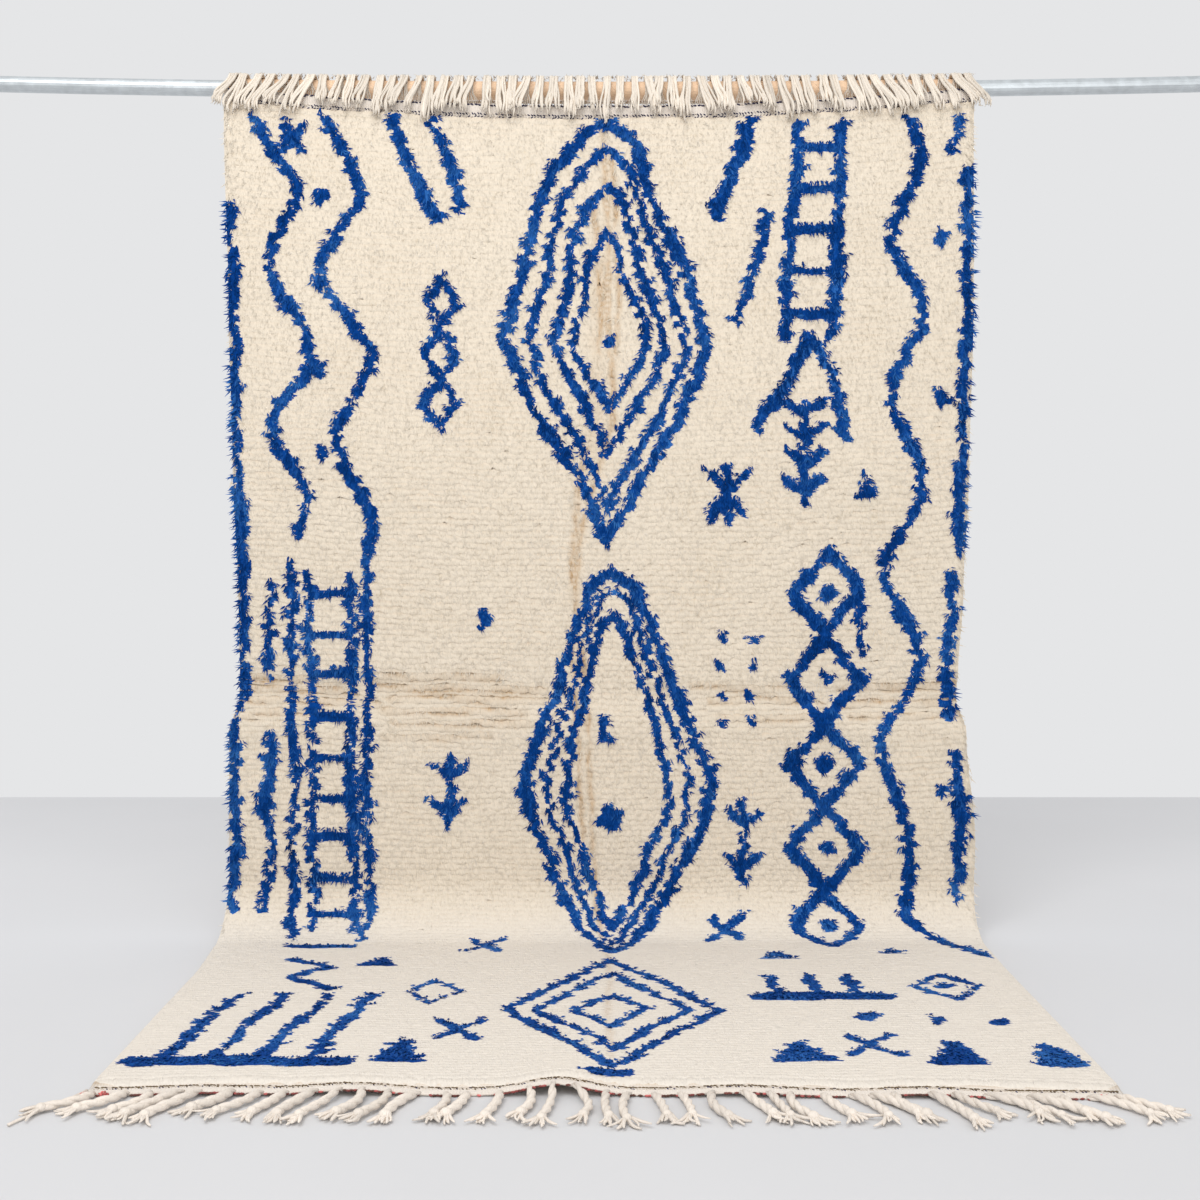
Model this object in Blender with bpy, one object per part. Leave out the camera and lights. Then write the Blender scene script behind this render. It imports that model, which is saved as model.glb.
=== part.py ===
"""Beni ourain rug hung by its warp ends over a rod, with its lower end lying on the floor.

Metres, +Z up. The rod runs along X, the rug faces -Y, and the floor is Z = 0.
Shapes are worked out in rod space, where the rod's axis is at Y = 0, and an empty carries
them to the part's own frame, whose origin is on the floor under the middle of the whole.
"""

import math
from collections import namedtuple

import bmesh
import bpy
from mathutils import Matrix, Vector

# Rod and the card tube on it
ROD_RADIUS = 0.01685
ROD_LENGTH = 2.80
ROD_HEIGHT = 1.8186  # axis above the floor at mid-span
ROD_SAG = 0.015  # how far mid-span hangs below the rod at half the rod's visible length
ROD_SAG_AT = 1.29
ROD_CHAMFER = 0.0015
TUBE_RADIUS = 0.0195
TUBE_WALL = 0.0021
TUBE_LENGTH = 1.60
ROUND_SIDES = 20
SPAN_STEPS = 10
SHARP_FROM = math.radians(40)

# Rug
CLEARANCE = 0.002  # between the tube and the cloth that goes round it
TOUCH_GAP = 0.0004
WRAP_RADIUS = TUBE_RADIUS + CLEARANCE
WARP_THICK = 0.0018  # warp ends round the tube
KILIM_THICK = 0.004  # flat-woven ends
PILE_THICK = 0.022  # ground weave and pile together
KILIM_DEPTH = 0.026
PILE_EASE = 0.014  # length over which the pile rises to its full height
BEND_RADIUS = 0.13  # where the hanging cloth turns onto the floor
FLOOR_REACH = 0.985  # rod axis to the woven front edge
FRONT_SKEW = 0.014  # how much further the right front corner reaches
WRAP_STEP = 0.011  # between the rows of corners that go round the tube
WRAP_ROWS = (-5, -4, -3, -2, -1, 0, 1, 2)  # counted from the top of the tube towards its front
TOP_DROP_SIDE = 0.006  # upper kilim edge below the rod's axis, at the sides and at mid-width
TOP_DROP_MIDDLE = 0.038

# Comb over the tube
TOP_TASSELS = 56
TOP_HEADER_ROWS = (-1, 0, 1)  # as WRAP_ROWS
TOP_HEADER_THICK = 0.005
TOP_TASSEL_THICK = 0.007
TOP_TASSEL_SHARE = 0.62  # of its share of the header's width
TOP_LEAN = 0.036  # how far the outermost tassels' ends swing outwards
TOP_FALL = 0.062  # tassel ends below the rod's axis
TOP_FALL_VARIES = 0.010
TOP_START = 0.024  # height of the header's front above the rod's axis

# A tassel's way down: depth in front of the rod's axis, height above it, and the slope from
# upright of the tassel's thickness
Turn = namedtuple("Turn", "depth height slope")
TOP_ROUTE = [
    Turn(0.0300, 0.013, math.radians(57)),
    Turn(0.0410, -0.008, math.radians(22)),
    Turn(0.0495, -0.032, 0.0),
    Turn(0.0500, -TOP_FALL, 0.0),
]

# Comb on the floor
FRONT_TASSELS = 39
FRONT_HEADER = 0.008
FRONT_TASSEL_WIDE = 0.013
FRONT_TASSEL_HIGH = 0.009
FRONT_TASSEL_LONG = 0.118
FRONT_LONG_VARIES = 0.012
FRONT_LEAN = 0.052  # how far the outermost tassels' ends swing outwards
FRONT_LEAN_VARIES = 0.013
FRONT_CURL = 1.4  # above 1, a tassel leans more towards its end
FRONT_CUTS = (0.12, 0.55, 1.0)  # shares of a tassel's length where it has corners

# Side edges of the rug: height or reach along the cloth, and each edge's X
Edge = namedtuple("Edge", "along left right")
EDGES = [
    Edge(0.00, -0.800, 0.800),
    Edge(0.10, -0.801, 0.796),
    Edge(0.50, -0.794, 0.799),
    Edge(0.85, -0.788, 0.792),
    Edge(1.10, -0.778, 0.782),
    Edge(1.27, -0.776, 0.772),
    Edge(1.34, -0.779, 0.768),
    Edge(1.41, -0.800, 0.790),
    Edge(1.65, -0.801, 0.811),
    Edge(1.85, -0.806, 0.806),
    Edge(2.15, -0.790, 0.801),
    Edge(2.76, -0.787, 0.800),
]

# Soft hollows and swells of the hanging cloth: centre, reach and how far it stands proud
Fold = namedtuple("Fold", "x along wide tall proud")
FOLDS = [
    Fold(0.015, 0.45, 0.045, 0.42, -0.007),
    Fold(-0.035, 1.00, 0.050, 0.25, -0.006),
    Fold(-0.62, 1.325, 0.40, 0.035, -0.006),
    Fold(0.45, 1.335, 0.55, 0.030, -0.006),
    Fold(0.00, 1.40, 0.90, 0.045, 0.004),
    Fold(-0.45, 0.70, 0.22, 0.60, 0.006),
    Fold(0.42, 0.60, 0.20, 0.55, 0.005),
    Fold(-0.70, 1.62, 0.16, 0.14, 0.005),
    Fold(0.72, 1.60, 0.15, 0.16, 0.006),
]

FOLD_FADE = 0.11  # length over which folds fade out near the tube and at the bend

# Places where the front edge stands off the floor
Lift = namedtuple("Lift", "x wide high")
LIFTS = [
    Lift(-0.60, 0.10, 0.005),
    Lift(-0.38, 0.08, 0.009),
    Lift(-0.065, 0.065, 0.018),
    Lift(0.22, 0.09, 0.006),
    Lift(0.50, 0.08, 0.005),
]
LIFT_DEPTH = 0.16

# Rows of corners along the cloth are closer at its crease and where it bends
CREASE_FROM = 1.27
CREASE_TO = 1.45
ROWS_ABOVE_CREASE = 9
ROWS_IN_CREASE = 4
ROWS_BELOW_CREASE = 3
ROWS_IN_BEND = 6
ROWS_ON_FLOOR = 5
EVEN_COLUMNS = 24
FOLD_COLUMNS = (0.44, 0.48, 0.52)  # further shares of the width, at the middle fold

Finish = namedtuple("Finish", "colour roughness metallic")
STEEL = Finish((0.52, 0.56, 0.58), 0.38, 0.85)
CARD = Finish((0.72, 0.44, 0.24), 0.55, 0.0)
WOOL = Finish((0.80, 0.72, 0.58), 0.95, 0.0)
CORD = Finish((0.82, 0.77, 0.68), 0.90, 0.0)

ARC = WRAP_RADIUS * math.pi / 2  # cloth from the top of the tube to its front
HANG = ROD_HEIGHT - BEND_RADIUS
BEND = BEND_RADIUS * math.pi / 2
FLAT = FLOOR_REACH - WRAP_RADIUS - BEND_RADIUS
WOVEN_END = ARC + HANG + BEND + FLAT


def material(name, finish):
    """A plain Principled material."""
    mat = bpy.data.materials.new(name)
    mat.use_nodes = True
    shader = mat.node_tree.nodes["Principled BSDF"]
    shader.inputs["Base Color"].default_value = (*finish.colour, 1.0)
    shader.inputs["Roughness"].default_value = finish.roughness
    shader.inputs["Metallic"].default_value = finish.metallic
    return mat


def new_object(name, bm, mat, parent):
    """Turns a bmesh into a named object with outward faces."""
    bmesh.ops.recalc_face_normals(bm, faces=bm.faces)
    if bm.calc_volume(signed=True) < 0.0:  # a thin bent slab can come out turned in
        bmesh.ops.reverse_faces(bm, faces=bm.faces)
    mesh = bpy.data.meshes.new(name)
    bm.to_mesh(mesh)
    bm.free()
    mesh.materials.append(mat)
    ob = bpy.data.objects.new(name, mesh)
    bpy.context.scene.collection.objects.link(ob)
    ob.parent = parent
    return ob


def ease(value):
    """Smooth step from 0 to 1."""
    value = min(1.0, max(0.0, value))
    return value * value * (3.0 - 2.0 * value)


def hump(offset, reach):
    """A bell that is 1 at no offset."""
    return math.exp(-((offset / reach) ** 2))


def uneven(index):
    """A number from -1 to 1 that wanders from one tassel to the next."""
    return 0.6 * math.sin(index * 2.3) + 0.4 * math.sin(index * 5.1)


def sag(x):
    """Height of the rod's axis above its height at mid-span."""
    return ROD_SAG * (x / ROD_SAG_AT) ** 2


def edge_at(along):
    """Left and right X of the rug at this length along the cloth."""
    for low, high in zip(EDGES, EDGES[1:]):
        if along <= high.along:
            break
    share = ease((along - low.along) / (high.along - low.along))
    left = low.left + (high.left - low.left) * share
    right = low.right + (high.right - low.right) * share
    return left, right


def kilim_top(x):
    """Length along the cloth where the upper flat-woven end begins."""
    middle = 1.0 - (x / (TUBE_LENGTH / 2)) ** 2
    return ARC + TOP_DROP_SIDE + (TOP_DROP_MIDDLE - TOP_DROP_SIDE) * max(0.0, middle)


def woven_end(x):
    """Length along the cloth of the front edge."""
    return WOVEN_END + FRONT_SKEW * max(0.0, x / (TUBE_LENGTH / 2))


def proud(x, along):
    """How far soft folds push the cloth forward."""
    total = sum(f.proud * hump(x - f.x, f.wide) * hump(along - f.along, f.tall) for f in FOLDS)
    below_top = ease((along - FOLD_FADE) / FOLD_FADE)
    above_bend = 1.0 - ease((along - (ARC + HANG - FOLD_FADE)) / (2 * FOLD_FADE))
    return total * below_top * above_bend


def lift(x, y):
    """Height of the front edge's waves, fading towards the rod."""
    fade = ease(1.0 - (y + FLOOR_REACH) / LIFT_DEPTH)
    return fade * sum(wave.high * hump(x - wave.x, wave.wide) for wave in LIFTS)


def cloth_point(x, along, height):
    """A point of the cloth, its height counted from the back face.

    The cloth comes round the tube from its top, hangs, bends and lies on the floor.
    """
    if along < ARC:
        turn = along / WRAP_RADIUS
        centre = Vector((x, 0.0, ROD_HEIGHT))
        out = Vector((0.0, -math.sin(turn), math.cos(turn)))
        place = centre + out * WRAP_RADIUS
    elif along < ARC + HANG:
        out = Vector((0.0, -1.0, 0.0))
        place = Vector((x, -WRAP_RADIUS, ROD_HEIGHT - (along - ARC)))
    elif along < ARC + HANG + BEND:
        turn = (along - ARC - HANG) / BEND_RADIUS
        out = Vector((0.0, -math.cos(turn), math.sin(turn)))
        centre = Vector((x, -WRAP_RADIUS - BEND_RADIUS, BEND_RADIUS))
        place = centre - out * BEND_RADIUS
    else:
        out = Vector((0.0, 0.0, 1.0))
        reach = WRAP_RADIUS + BEND_RADIUS + along - ARC - HANG - BEND
        place = Vector((x, -reach, 0.0))
        place.z += lift(x, -reach)
    place.z += sag(x) * min(1.0, max(0.0, (place.z - BEND_RADIUS) / HANG))
    return place + out * (height + proud(x, along))


def cloth_height(x, along):
    """Thickness of the rug: warp ends, flat-woven end, pile, flat-woven end."""
    top = kilim_top(x)
    end = woven_end(x)
    if along < top:
        return WARP_THICK
    rise = ease((along - top - KILIM_DEPTH) / PILE_EASE)
    fall = ease((end - KILIM_DEPTH - along) / PILE_EASE)
    return KILIM_THICK + (PILE_THICK - KILIM_THICK) * min(rise, fall)


def rug_rows(x):
    """Lengths along the cloth of the rug's rows of corners, from the back of the tube down."""
    top = kilim_top(x)
    end = woven_end(x)
    pile_from = top + KILIM_DEPTH + PILE_EASE
    pile_to = end - KILIM_DEPTH
    rows = [row * WRAP_STEP for row in WRAP_ROWS]
    rows += [ARC, top - TOUCH_GAP, top, top + KILIM_DEPTH, pile_from]
    stretches = [
        (CREASE_FROM, ROWS_ABOVE_CREASE),
        (CREASE_TO, ROWS_IN_CREASE),
        (ARC + HANG, ROWS_BELOW_CREASE),
        (ARC + HANG + BEND, ROWS_IN_BEND),
        (pile_to - PILE_EASE, ROWS_ON_FLOOR),
    ]
    for far, count in stretches:
        near = rows[-1]
        rows += [near + (far - near) * step / count for step in range(1, count + 1)]
    return rows + [pile_to, end]


def rug_columns():
    """Shares of the width at which the rug's columns stand."""
    even = [step / EVEN_COLUMNS for step in range(EVEN_COLUMNS + 1)]
    return sorted([*even, *FOLD_COLUMNS])


def comb_shares(count, tooth_share):
    """Shares of a fringe's width where its header is cut: gap, tooth, gap, tooth, ..., gap."""
    cell = 1.0 / count
    shares = [0.0]
    for index in range(count):
        middle = (index + 0.5) * cell
        shares += [middle - cell * tooth_share / 2, middle + cell * tooth_share / 2]
    return shares + [1.0]


def slab(columns, rows, place):
    """A closed sheet: a grid, thickened, with each corner put where place() says.

    place(column, row, upper) gives a corner's point. Returns the bmesh and the faces of its
    last row's wall by column.
    """
    wide = len(columns) - 1
    deep = len(rows) - 1
    bm = bmesh.new()
    bmesh.ops.create_grid(bm, x_segments=wide, y_segments=deep, size=0.5)
    lower = set(bm.verts)
    bmesh.ops.extrude_face_region(bm, geom=bm.faces[:], use_keep_orig=True)
    steps = {}
    for vert in bm.verts:
        steps[vert] = (round((vert.co.x + 0.5) * wide), round((vert.co.y + 0.5) * deep))
    walls = {}
    for face in bm.faces:
        corners = [steps[vert] for vert in face.verts]
        if all(row == deep for _, row in corners):
            walls[min(corners)[0]] = face
    for vert, (column, row) in steps.items():
        vert.co = place(column, row, vert not in lower)
    return bm, walls


def grow(bm, face, sections):
    """Grows a tooth out of a header's front wall, with one new end for each section."""
    for spot, across, through in sections:
        made = bmesh.ops.extrude_discrete_faces(bm, faces=[face])
        face = made["faces"][0]
        centre = face.calc_center_median()
        for vert in face.verts:
            side = 1.0 if vert.co.x > centre.x else -1.0
            outer = 1.0 if vert.co.z - vert.co.y > centre.z - centre.y else -1.0
            vert.co = spot + across * side + through * outer


def make_rod(parent):
    """Round bar along X, with chamfered flat ends, bowed by its load."""
    bm = bmesh.new()
    bmesh.ops.create_cone(
        bm,
        cap_ends=True,
        segments=ROUND_SIDES,
        radius1=ROD_RADIUS,
        radius2=ROD_RADIUS,
        depth=ROD_LENGTH,
        matrix=Matrix.Rotation(math.pi / 2, 4, "Y"),
    )
    rims = [edge for edge in bm.edges if abs(edge.verts[0].co.x - edge.verts[1].co.x) < 1e-5]
    bmesh.ops.bevel(
        bm,
        geom=rims,
        offset=ROD_CHAMFER,
        segments=1,
        profile=0.5,
        affect="EDGES",
        material=-1,
    )
    bow(bm, ROD_LENGTH)
    return new_object("rod", bm, material("galvanised steel", STEEL), parent)


def bow(bm, length):
    """Cuts the long edges of a bar along X into steps and drops it to the rod's sagging axis."""
    long_edges = [
        edge for edge in bm.edges if abs(edge.verts[0].co.x - edge.verts[1].co.x) > length / 2
    ]
    bmesh.ops.subdivide_edges(bm, edges=long_edges, cuts=SPAN_STEPS - 1, use_grid_fill=True)
    for vert in bm.verts:
        vert.co.z += ROD_HEIGHT + sag(vert.co.x)


def make_tube(parent):
    """Card tube on the rod, behind the rug's warp ends."""
    bm = bmesh.new()
    bmesh.ops.create_cone(
        bm,
        cap_ends=False,
        segments=ROUND_SIDES,
        radius1=TUBE_RADIUS,
        radius2=TUBE_RADIUS,
        depth=TUBE_LENGTH,
        matrix=Matrix.Rotation(math.pi / 2, 4, "Y"),
    )
    bow(bm, TUBE_LENGTH)
    ob = new_object("tube", bm, material("card", CARD), parent)
    wall = ob.modifiers.new("wall", "SOLIDIFY")
    wall.thickness = TUBE_WALL
    wall.offset = -1.0
    wall.use_even_offset = True
    return ob


def make_rug(parent):
    """The woven rug: pile field with a flat-woven end above and below."""
    columns = rug_columns()
    row_count = len(rug_rows(0.0))

    def place(column, row, upper):
        share = columns[column]
        middle = (share - 0.5) * TUBE_LENGTH
        along = rug_rows(middle)[row]
        left, right = edge_at(along)
        x = left + (right - left) * share
        height = cloth_height(middle, along) if upper else 0.0
        return cloth_point(x, along, height)

    bm, _ = slab(columns, range(row_count), place)
    return new_object("rug", bm, material("wool pile", WOOL), parent)


def make_top_fringe(parent):
    """Comb of tassels that lies on the warp ends over the tube and falls forward."""
    shares = comb_shares(TOP_TASSELS, TOP_TASSEL_SHARE)
    inner = WARP_THICK + TOUCH_GAP
    header = [row * WRAP_STEP for row in TOP_HEADER_ROWS]
    left, right = edge_at(0.0)

    def header_x(column):
        return left + (right - left) * shares[column]

    def place(column, row, upper):
        height = inner + (TOP_HEADER_THICK if upper else 0.0)
        return cloth_point(header_x(column), header[row], height)

    bm, walls = slab(shares, header, place)
    for index in range(TOP_TASSELS):
        column = 2 * index + 1
        wide = header_x(column + 1) - header_x(column)
        middle = header_x(column) + wide / 2
        across = Vector((wide / 2, 0.0, 0.0))
        lean = TOP_LEAN * middle / (TUBE_LENGTH / 2)
        longer = TOP_FALL_VARIES * uneven(index)
        sections = []
        for turn in TOP_ROUTE:
            height = turn.height - (longer if turn is TOP_ROUTE[-1] else 0.0)
            x = middle + lean * (TOP_START - height) / (TOP_START + TOP_FALL)
            spot = Vector((x, -turn.depth, ROD_HEIGHT + sag(middle) + height))
            through = Vector((0.0, -math.cos(turn.slope), math.sin(turn.slope)))
            sections.append((spot, across, through * TOP_TASSEL_THICK / 2))
        grow(bm, walls[column], sections)
    return new_object("fringe_top", bm, material("fringe cord", CORD), parent)


def make_front_fringe(parent):
    """Comb of tassels that runs out over the floor from the rug's front edge."""
    tooth_share = FRONT_TASSEL_WIDE * FRONT_TASSELS / TUBE_LENGTH
    shares = comb_shares(FRONT_TASSELS, tooth_share)
    left, right = edge_at(WOVEN_END)
    header = (TOUCH_GAP, TOUCH_GAP + FRONT_HEADER)

    def header_x(column):
        return left + (right - left) * shares[column]

    def place(column, row, upper):
        x = header_x(column)
        along = woven_end(x) + header[row]
        return cloth_point(x, along, KILIM_THICK if upper else 0.0)

    bm, walls = slab(shares, header, place)
    across = Vector((FRONT_TASSEL_WIDE / 2, 0.0, 0.0))
    through = Vector((0.0, 0.0, FRONT_TASSEL_HIGH / 2))
    for index in range(FRONT_TASSELS):
        column = 2 * index + 1
        x = (header_x(column) + header_x(column + 1)) / 2
        start = cloth_point(x, woven_end(x) + header[1], 0.0).y
        raised = lift(x, start)
        swing = FRONT_LEAN * x / (TUBE_LENGTH / 2) + FRONT_LEAN_VARIES * uneven(index + 7)
        long = FRONT_TASSEL_LONG + FRONT_LONG_VARIES * uneven(index)
        sections = []
        for cut in FRONT_CUTS:
            low = raised * (1.0 - ease(cut / FRONT_CUTS[1]))
            spot = Vector((x + swing * cut**FRONT_CURL, start - long * cut, low + through.z))
            sections.append((spot, across, through))
        grow(bm, walls[column], sections)
    return new_object("fringe_front", bm, material("front fringe cord", CORD), parent)


def stand_on_origin(parent):
    """Moves the whole so that the origin is on the floor under its middle."""
    bpy.context.view_layer.update()
    depths = [
        (child.matrix_world @ vert.co).y for child in parent.children for vert in child.data.vertices
    ]
    parent.location.y = -(min(depths) + max(depths)) / 2


def main():
    for ob in list(bpy.data.objects):
        bpy.data.objects.remove(ob)
    rig = bpy.data.objects.new("hung_rug", None)
    bpy.context.scene.collection.objects.link(rig)
    for ob in (make_rod(rig), make_tube(rig)):
        ob.data.shade_smooth()
        ob.data.set_sharp_from_angle(angle=SHARP_FROM)
    make_rug(rig)
    make_top_fringe(rig)
    make_front_fringe(rig)
    stand_on_origin(rig)


main()
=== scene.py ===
"""Beni ourain rug hung over a rod: its knotted pile, flat-woven ends, tassels and finishes.

Metres, +Z up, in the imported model's frame: the rod runs along X, the rug faces -Y and the
floor is Z = 0. A place on the rug is its X and its "along", the length of cloth from the top
of the tube, over the tube's front and down the rug's face, to the front edge on the floor.
"""

import math
from collections import namedtuple

import bmesh
import bpy
import numpy as np
from bpy.props import FloatProperty, FloatVectorProperty, IntProperty, PointerProperty
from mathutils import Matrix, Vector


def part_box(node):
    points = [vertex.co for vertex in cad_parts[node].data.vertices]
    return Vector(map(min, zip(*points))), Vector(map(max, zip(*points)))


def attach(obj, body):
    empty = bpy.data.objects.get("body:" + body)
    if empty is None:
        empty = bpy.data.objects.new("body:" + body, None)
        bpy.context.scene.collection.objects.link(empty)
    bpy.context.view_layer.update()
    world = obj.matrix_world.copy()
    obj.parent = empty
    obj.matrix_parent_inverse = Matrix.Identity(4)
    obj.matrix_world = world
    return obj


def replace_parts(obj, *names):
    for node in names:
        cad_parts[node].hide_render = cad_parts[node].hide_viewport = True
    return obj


bl_info = {
    "name": "Knotted rug on a rod",
    "version": (1, 0, 0),
    "blender": (4, 5, 0),
    "location": "3D View > Sidebar > Rug",
    "description": "Knots a shaggy rug, its flat-woven ends and its tassels round a rod",
    "category": "Add Mesh",
}

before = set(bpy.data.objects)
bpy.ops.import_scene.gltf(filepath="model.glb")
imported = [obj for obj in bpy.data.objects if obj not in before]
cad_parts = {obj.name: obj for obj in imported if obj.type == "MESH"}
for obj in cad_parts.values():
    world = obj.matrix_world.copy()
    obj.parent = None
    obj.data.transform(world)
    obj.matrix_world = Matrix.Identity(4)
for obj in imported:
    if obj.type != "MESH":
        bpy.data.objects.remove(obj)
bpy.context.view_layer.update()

# Rod, tube and the cloth's way down, from the solids
ROD_LOW, ROD_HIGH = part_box("rod")
TUBE_LOW, TUBE_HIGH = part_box("tube")
RUG_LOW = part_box("rug")[0]
ROD_Y = (ROD_LOW.y + ROD_HIGH.y) / 2
ROD_RADIUS = (ROD_HIGH.y - ROD_LOW.y) / 2
ROD_Z = ROD_LOW.z + ROD_RADIUS  # the rod's axis at mid-span
ROD_RISE = (ROD_HIGH.z - ROD_RADIUS - ROD_Z) / ROD_HIGH.x**2
HALF_WIDTH = TUBE_HIGH.x
WRAP_GAP = 0.002  # between the tube and the back of what goes round it
WRAP_RADIUS = (TUBE_HIGH.y - TUBE_LOW.y) / 2 + WRAP_GAP
BEND_RADIUS = 0.13  # where the hanging cloth turns onto the floor
FRONT_SKEW = 0.014  # how much further the right front corner reaches
FLOOR_REACH = ROD_Y - RUG_LOW.y - FRONT_SKEW
ARC = WRAP_RADIUS * math.pi / 2
HANG = ROD_Z - BEND_RADIUS
BEND = BEND_RADIUS * math.pi / 2
WOVEN_END = ARC + HANG + BEND + FLOOR_REACH - WRAP_RADIUS - BEND_RADIUS

# Weave
KILIM_THICK = 0.004
GROUND_THICK = 0.007  # under the pile, knots and all
KILIM_DEPTH = 0.026
PILE_START = 0.028  # below the upper edge of the upper flat-woven end
PILE_STOP = 0.038  # above the front edge
PILE_EASE = 0.014
TOP_DROP_SIDE = 0.006  # upper edge below the rod's axis, at the sides and at mid-width
TOP_DROP_MIDDLE = 0.038
WRAP_BACK = -0.055  # where the warp ends stop behind the tube
WARPS_PER_TASSEL = 6

# Side edges: length along the cloth, and each edge's X
Edge = namedtuple("Edge", "along left right")
EDGES = [
    Edge(0.00, -0.800, 0.800),
    Edge(0.10, -0.801, 0.796),
    Edge(0.50, -0.794, 0.799),
    Edge(0.85, -0.788, 0.792),
    Edge(1.10, -0.778, 0.782),
    Edge(1.27, -0.776, 0.772),
    Edge(1.34, -0.779, 0.768),
    Edge(1.41, -0.800, 0.790),
    Edge(1.65, -0.801, 0.811),
    Edge(1.85, -0.806, 0.806),
    Edge(2.15, -0.790, 0.801),
    Edge(2.76, -0.787, 0.800),
]

# Soft hollows and swells of the hanging cloth: centre, reach and how far it stands proud
Fold = namedtuple("Fold", "x along wide tall proud")
FOLDS = [
    Fold(0.015, 0.45, 0.045, 0.42, -0.007),
    Fold(-0.035, 1.00, 0.050, 0.25, -0.006),
    Fold(-0.62, 1.325, 0.40, 0.035, -0.006),
    Fold(0.45, 1.335, 0.55, 0.030, -0.006),
    Fold(0.00, 1.40, 0.90, 0.045, 0.004),
    Fold(-0.45, 0.70, 0.22, 0.60, 0.006),
    Fold(0.42, 0.60, 0.20, 0.55, 0.005),
    Fold(-0.70, 1.62, 0.16, 0.14, 0.005),
    Fold(0.72, 1.60, 0.15, 0.16, 0.006),
]
FOLD_FADE = 0.11

# Waves of the front edge
Lift = namedtuple("Lift", "x wide high")
LIFTS = [
    Lift(-0.60, 0.10, 0.005),
    Lift(-0.38, 0.08, 0.009),
    Lift(-0.065, 0.065, 0.018),
    Lift(0.22, 0.09, 0.006),
    Lift(0.50, 0.08, 0.005),
]
LIFT_DEPTH = 0.16

# Sharp lines where the pile parts over a fold: depth from 0 to 1, and (x, along) points
Crease = namedtuple("Crease", "depth wide points")
CREASE_STRAYS = [(0.0035, 7.0, 4.0), (0.0030, 6.0, 9.0)]  # of x and along: how far, scale, seed
CREASES = [
    Crease(1.0, 0.0072, [
        (0.004, 0.12), (0.012, 0.24), (0.020, 0.40), (0.014, 0.50), (0.024, 0.62), (0.030, 0.74),
    ]),
    Crease(0.9, 0.0060, [(0.026, 0.17), (0.033, 0.33), (0.041, 0.50), (0.034, 0.60)]),
    Crease(1.0, 0.0065, [(-0.012, 0.27), (-0.004, 0.40), (0.002, 0.48), (-0.002, 0.60)]),
    Crease(1.0, 0.0072, [(0.030, 0.74), (-0.008, 0.86), (-0.040, 0.97), (-0.052, 1.08)]),
    Crease(1.0, 0.0065, [(-0.028, 0.80), (-0.048, 0.90), (-0.060, 1.04), (-0.046, 1.20), (-0.030, 1.31)]),
    Crease(0.9, 0.0062, [(-0.062, 1.22), (-0.050, 1.38), (-0.044, 1.52), (-0.036, 1.66)]),
    Crease(0.8, 0.0062, [(-0.030, 1.28), (-0.022, 1.50), (-0.012, 1.72), (0.004, 1.90)]),
    Crease(0.4, 0.0058, [(0.012, 1.94), (0.020, 2.15), (0.012, 2.40), (0.020, 2.62)]),
    Crease(0.35, 0.020, [(0.004, 0.40), (-0.008, 0.58), (-0.006, 0.74), (-0.030, 0.86)]),
    Crease(0.30, 0.018, [(-0.052, 1.10), (-0.050, 1.24), (-0.040, 1.40)]),
    Crease(1.0, 0.0075, [(-0.79, 1.300), (-0.74, 1.296), (-0.69, 1.304), (-0.62, 1.300)]),
    Crease(1.0, 0.0085, [(-0.79, 1.322), (-0.72, 1.314), (-0.64, 1.326), (-0.58, 1.320), (-0.53, 1.328)]),
    Crease(0.9, 0.0075, [(-0.79, 1.350), (-0.70, 1.342), (-0.62, 1.352), (-0.55, 1.345), (-0.48, 1.350)]),
    Crease(0.7, 0.0075, [(-0.78, 1.376), (-0.66, 1.370), (-0.58, 1.378)]),
    Crease(0.9, 0.0075, [(-0.46, 1.288), (-0.40, 1.296), (-0.31, 1.290), (-0.22, 1.298)]),
    Crease(1.0, 0.0085, [(-0.48, 1.310), (-0.40, 1.322), (-0.33, 1.316), (-0.24, 1.324), (-0.12, 1.320)]),
    Crease(1.0, 0.0075, [(-0.45, 1.340), (-0.36, 1.333), (-0.27, 1.344), (-0.17, 1.337), (-0.10, 1.346)]),
    Crease(0.9, 0.0075, [(-0.47, 1.366), (-0.36, 1.373), (-0.25, 1.364), (-0.16, 1.371)]),
    Crease(0.8, 0.0075, [(-0.44, 1.392), (-0.33, 1.399), (-0.22, 1.390), (-0.14, 1.397)]),
    Crease(0.6, 0.0075, [(-0.46, 1.420), (-0.35, 1.426), (-0.24, 1.418)]),
    Crease(0.7, 0.0075, [(0.20, 1.312), (0.30, 1.320), (0.42, 1.314)]),
    Crease(0.8, 0.0075, [(0.24, 1.346), (0.36, 1.339), (0.48, 1.350)]),
    Crease(1.0, 0.0085, [(0.52, 1.322), (0.60, 1.314), (0.69, 1.318), (0.78, 1.304)]),
    Crease(1.0, 0.0075, [(0.52, 1.352), (0.63, 1.345), (0.70, 1.350), (0.78, 1.338)]),
    Crease(0.8, 0.0075, [(0.54, 1.380), (0.64, 1.374), (0.72, 1.380), (0.78, 1.370)]),
    Crease(0.6, 0.0075, [(0.26, 1.378), (0.38, 1.386), (0.50, 1.379)]),
]


def ease(value):
    """Smooth step from 0 to 1."""
    value = np.clip(value, 0.0, 1.0)
    return value * value * (3.0 - 2.0 * value)


def hump(offset, reach):
    """A bell that is 1 at no offset."""
    return np.exp(-((offset / reach) ** 2))


def uneven(index):
    """A number from -1 to 1 that wanders from one tassel to the next."""
    return 0.6 * np.sin(index * 2.3) + 0.4 * np.sin(index * 5.1)


def unit(vectors):
    """The same directions with a length of one."""
    return vectors / np.linalg.norm(vectors, axis=-1, keepdims=True)


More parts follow.
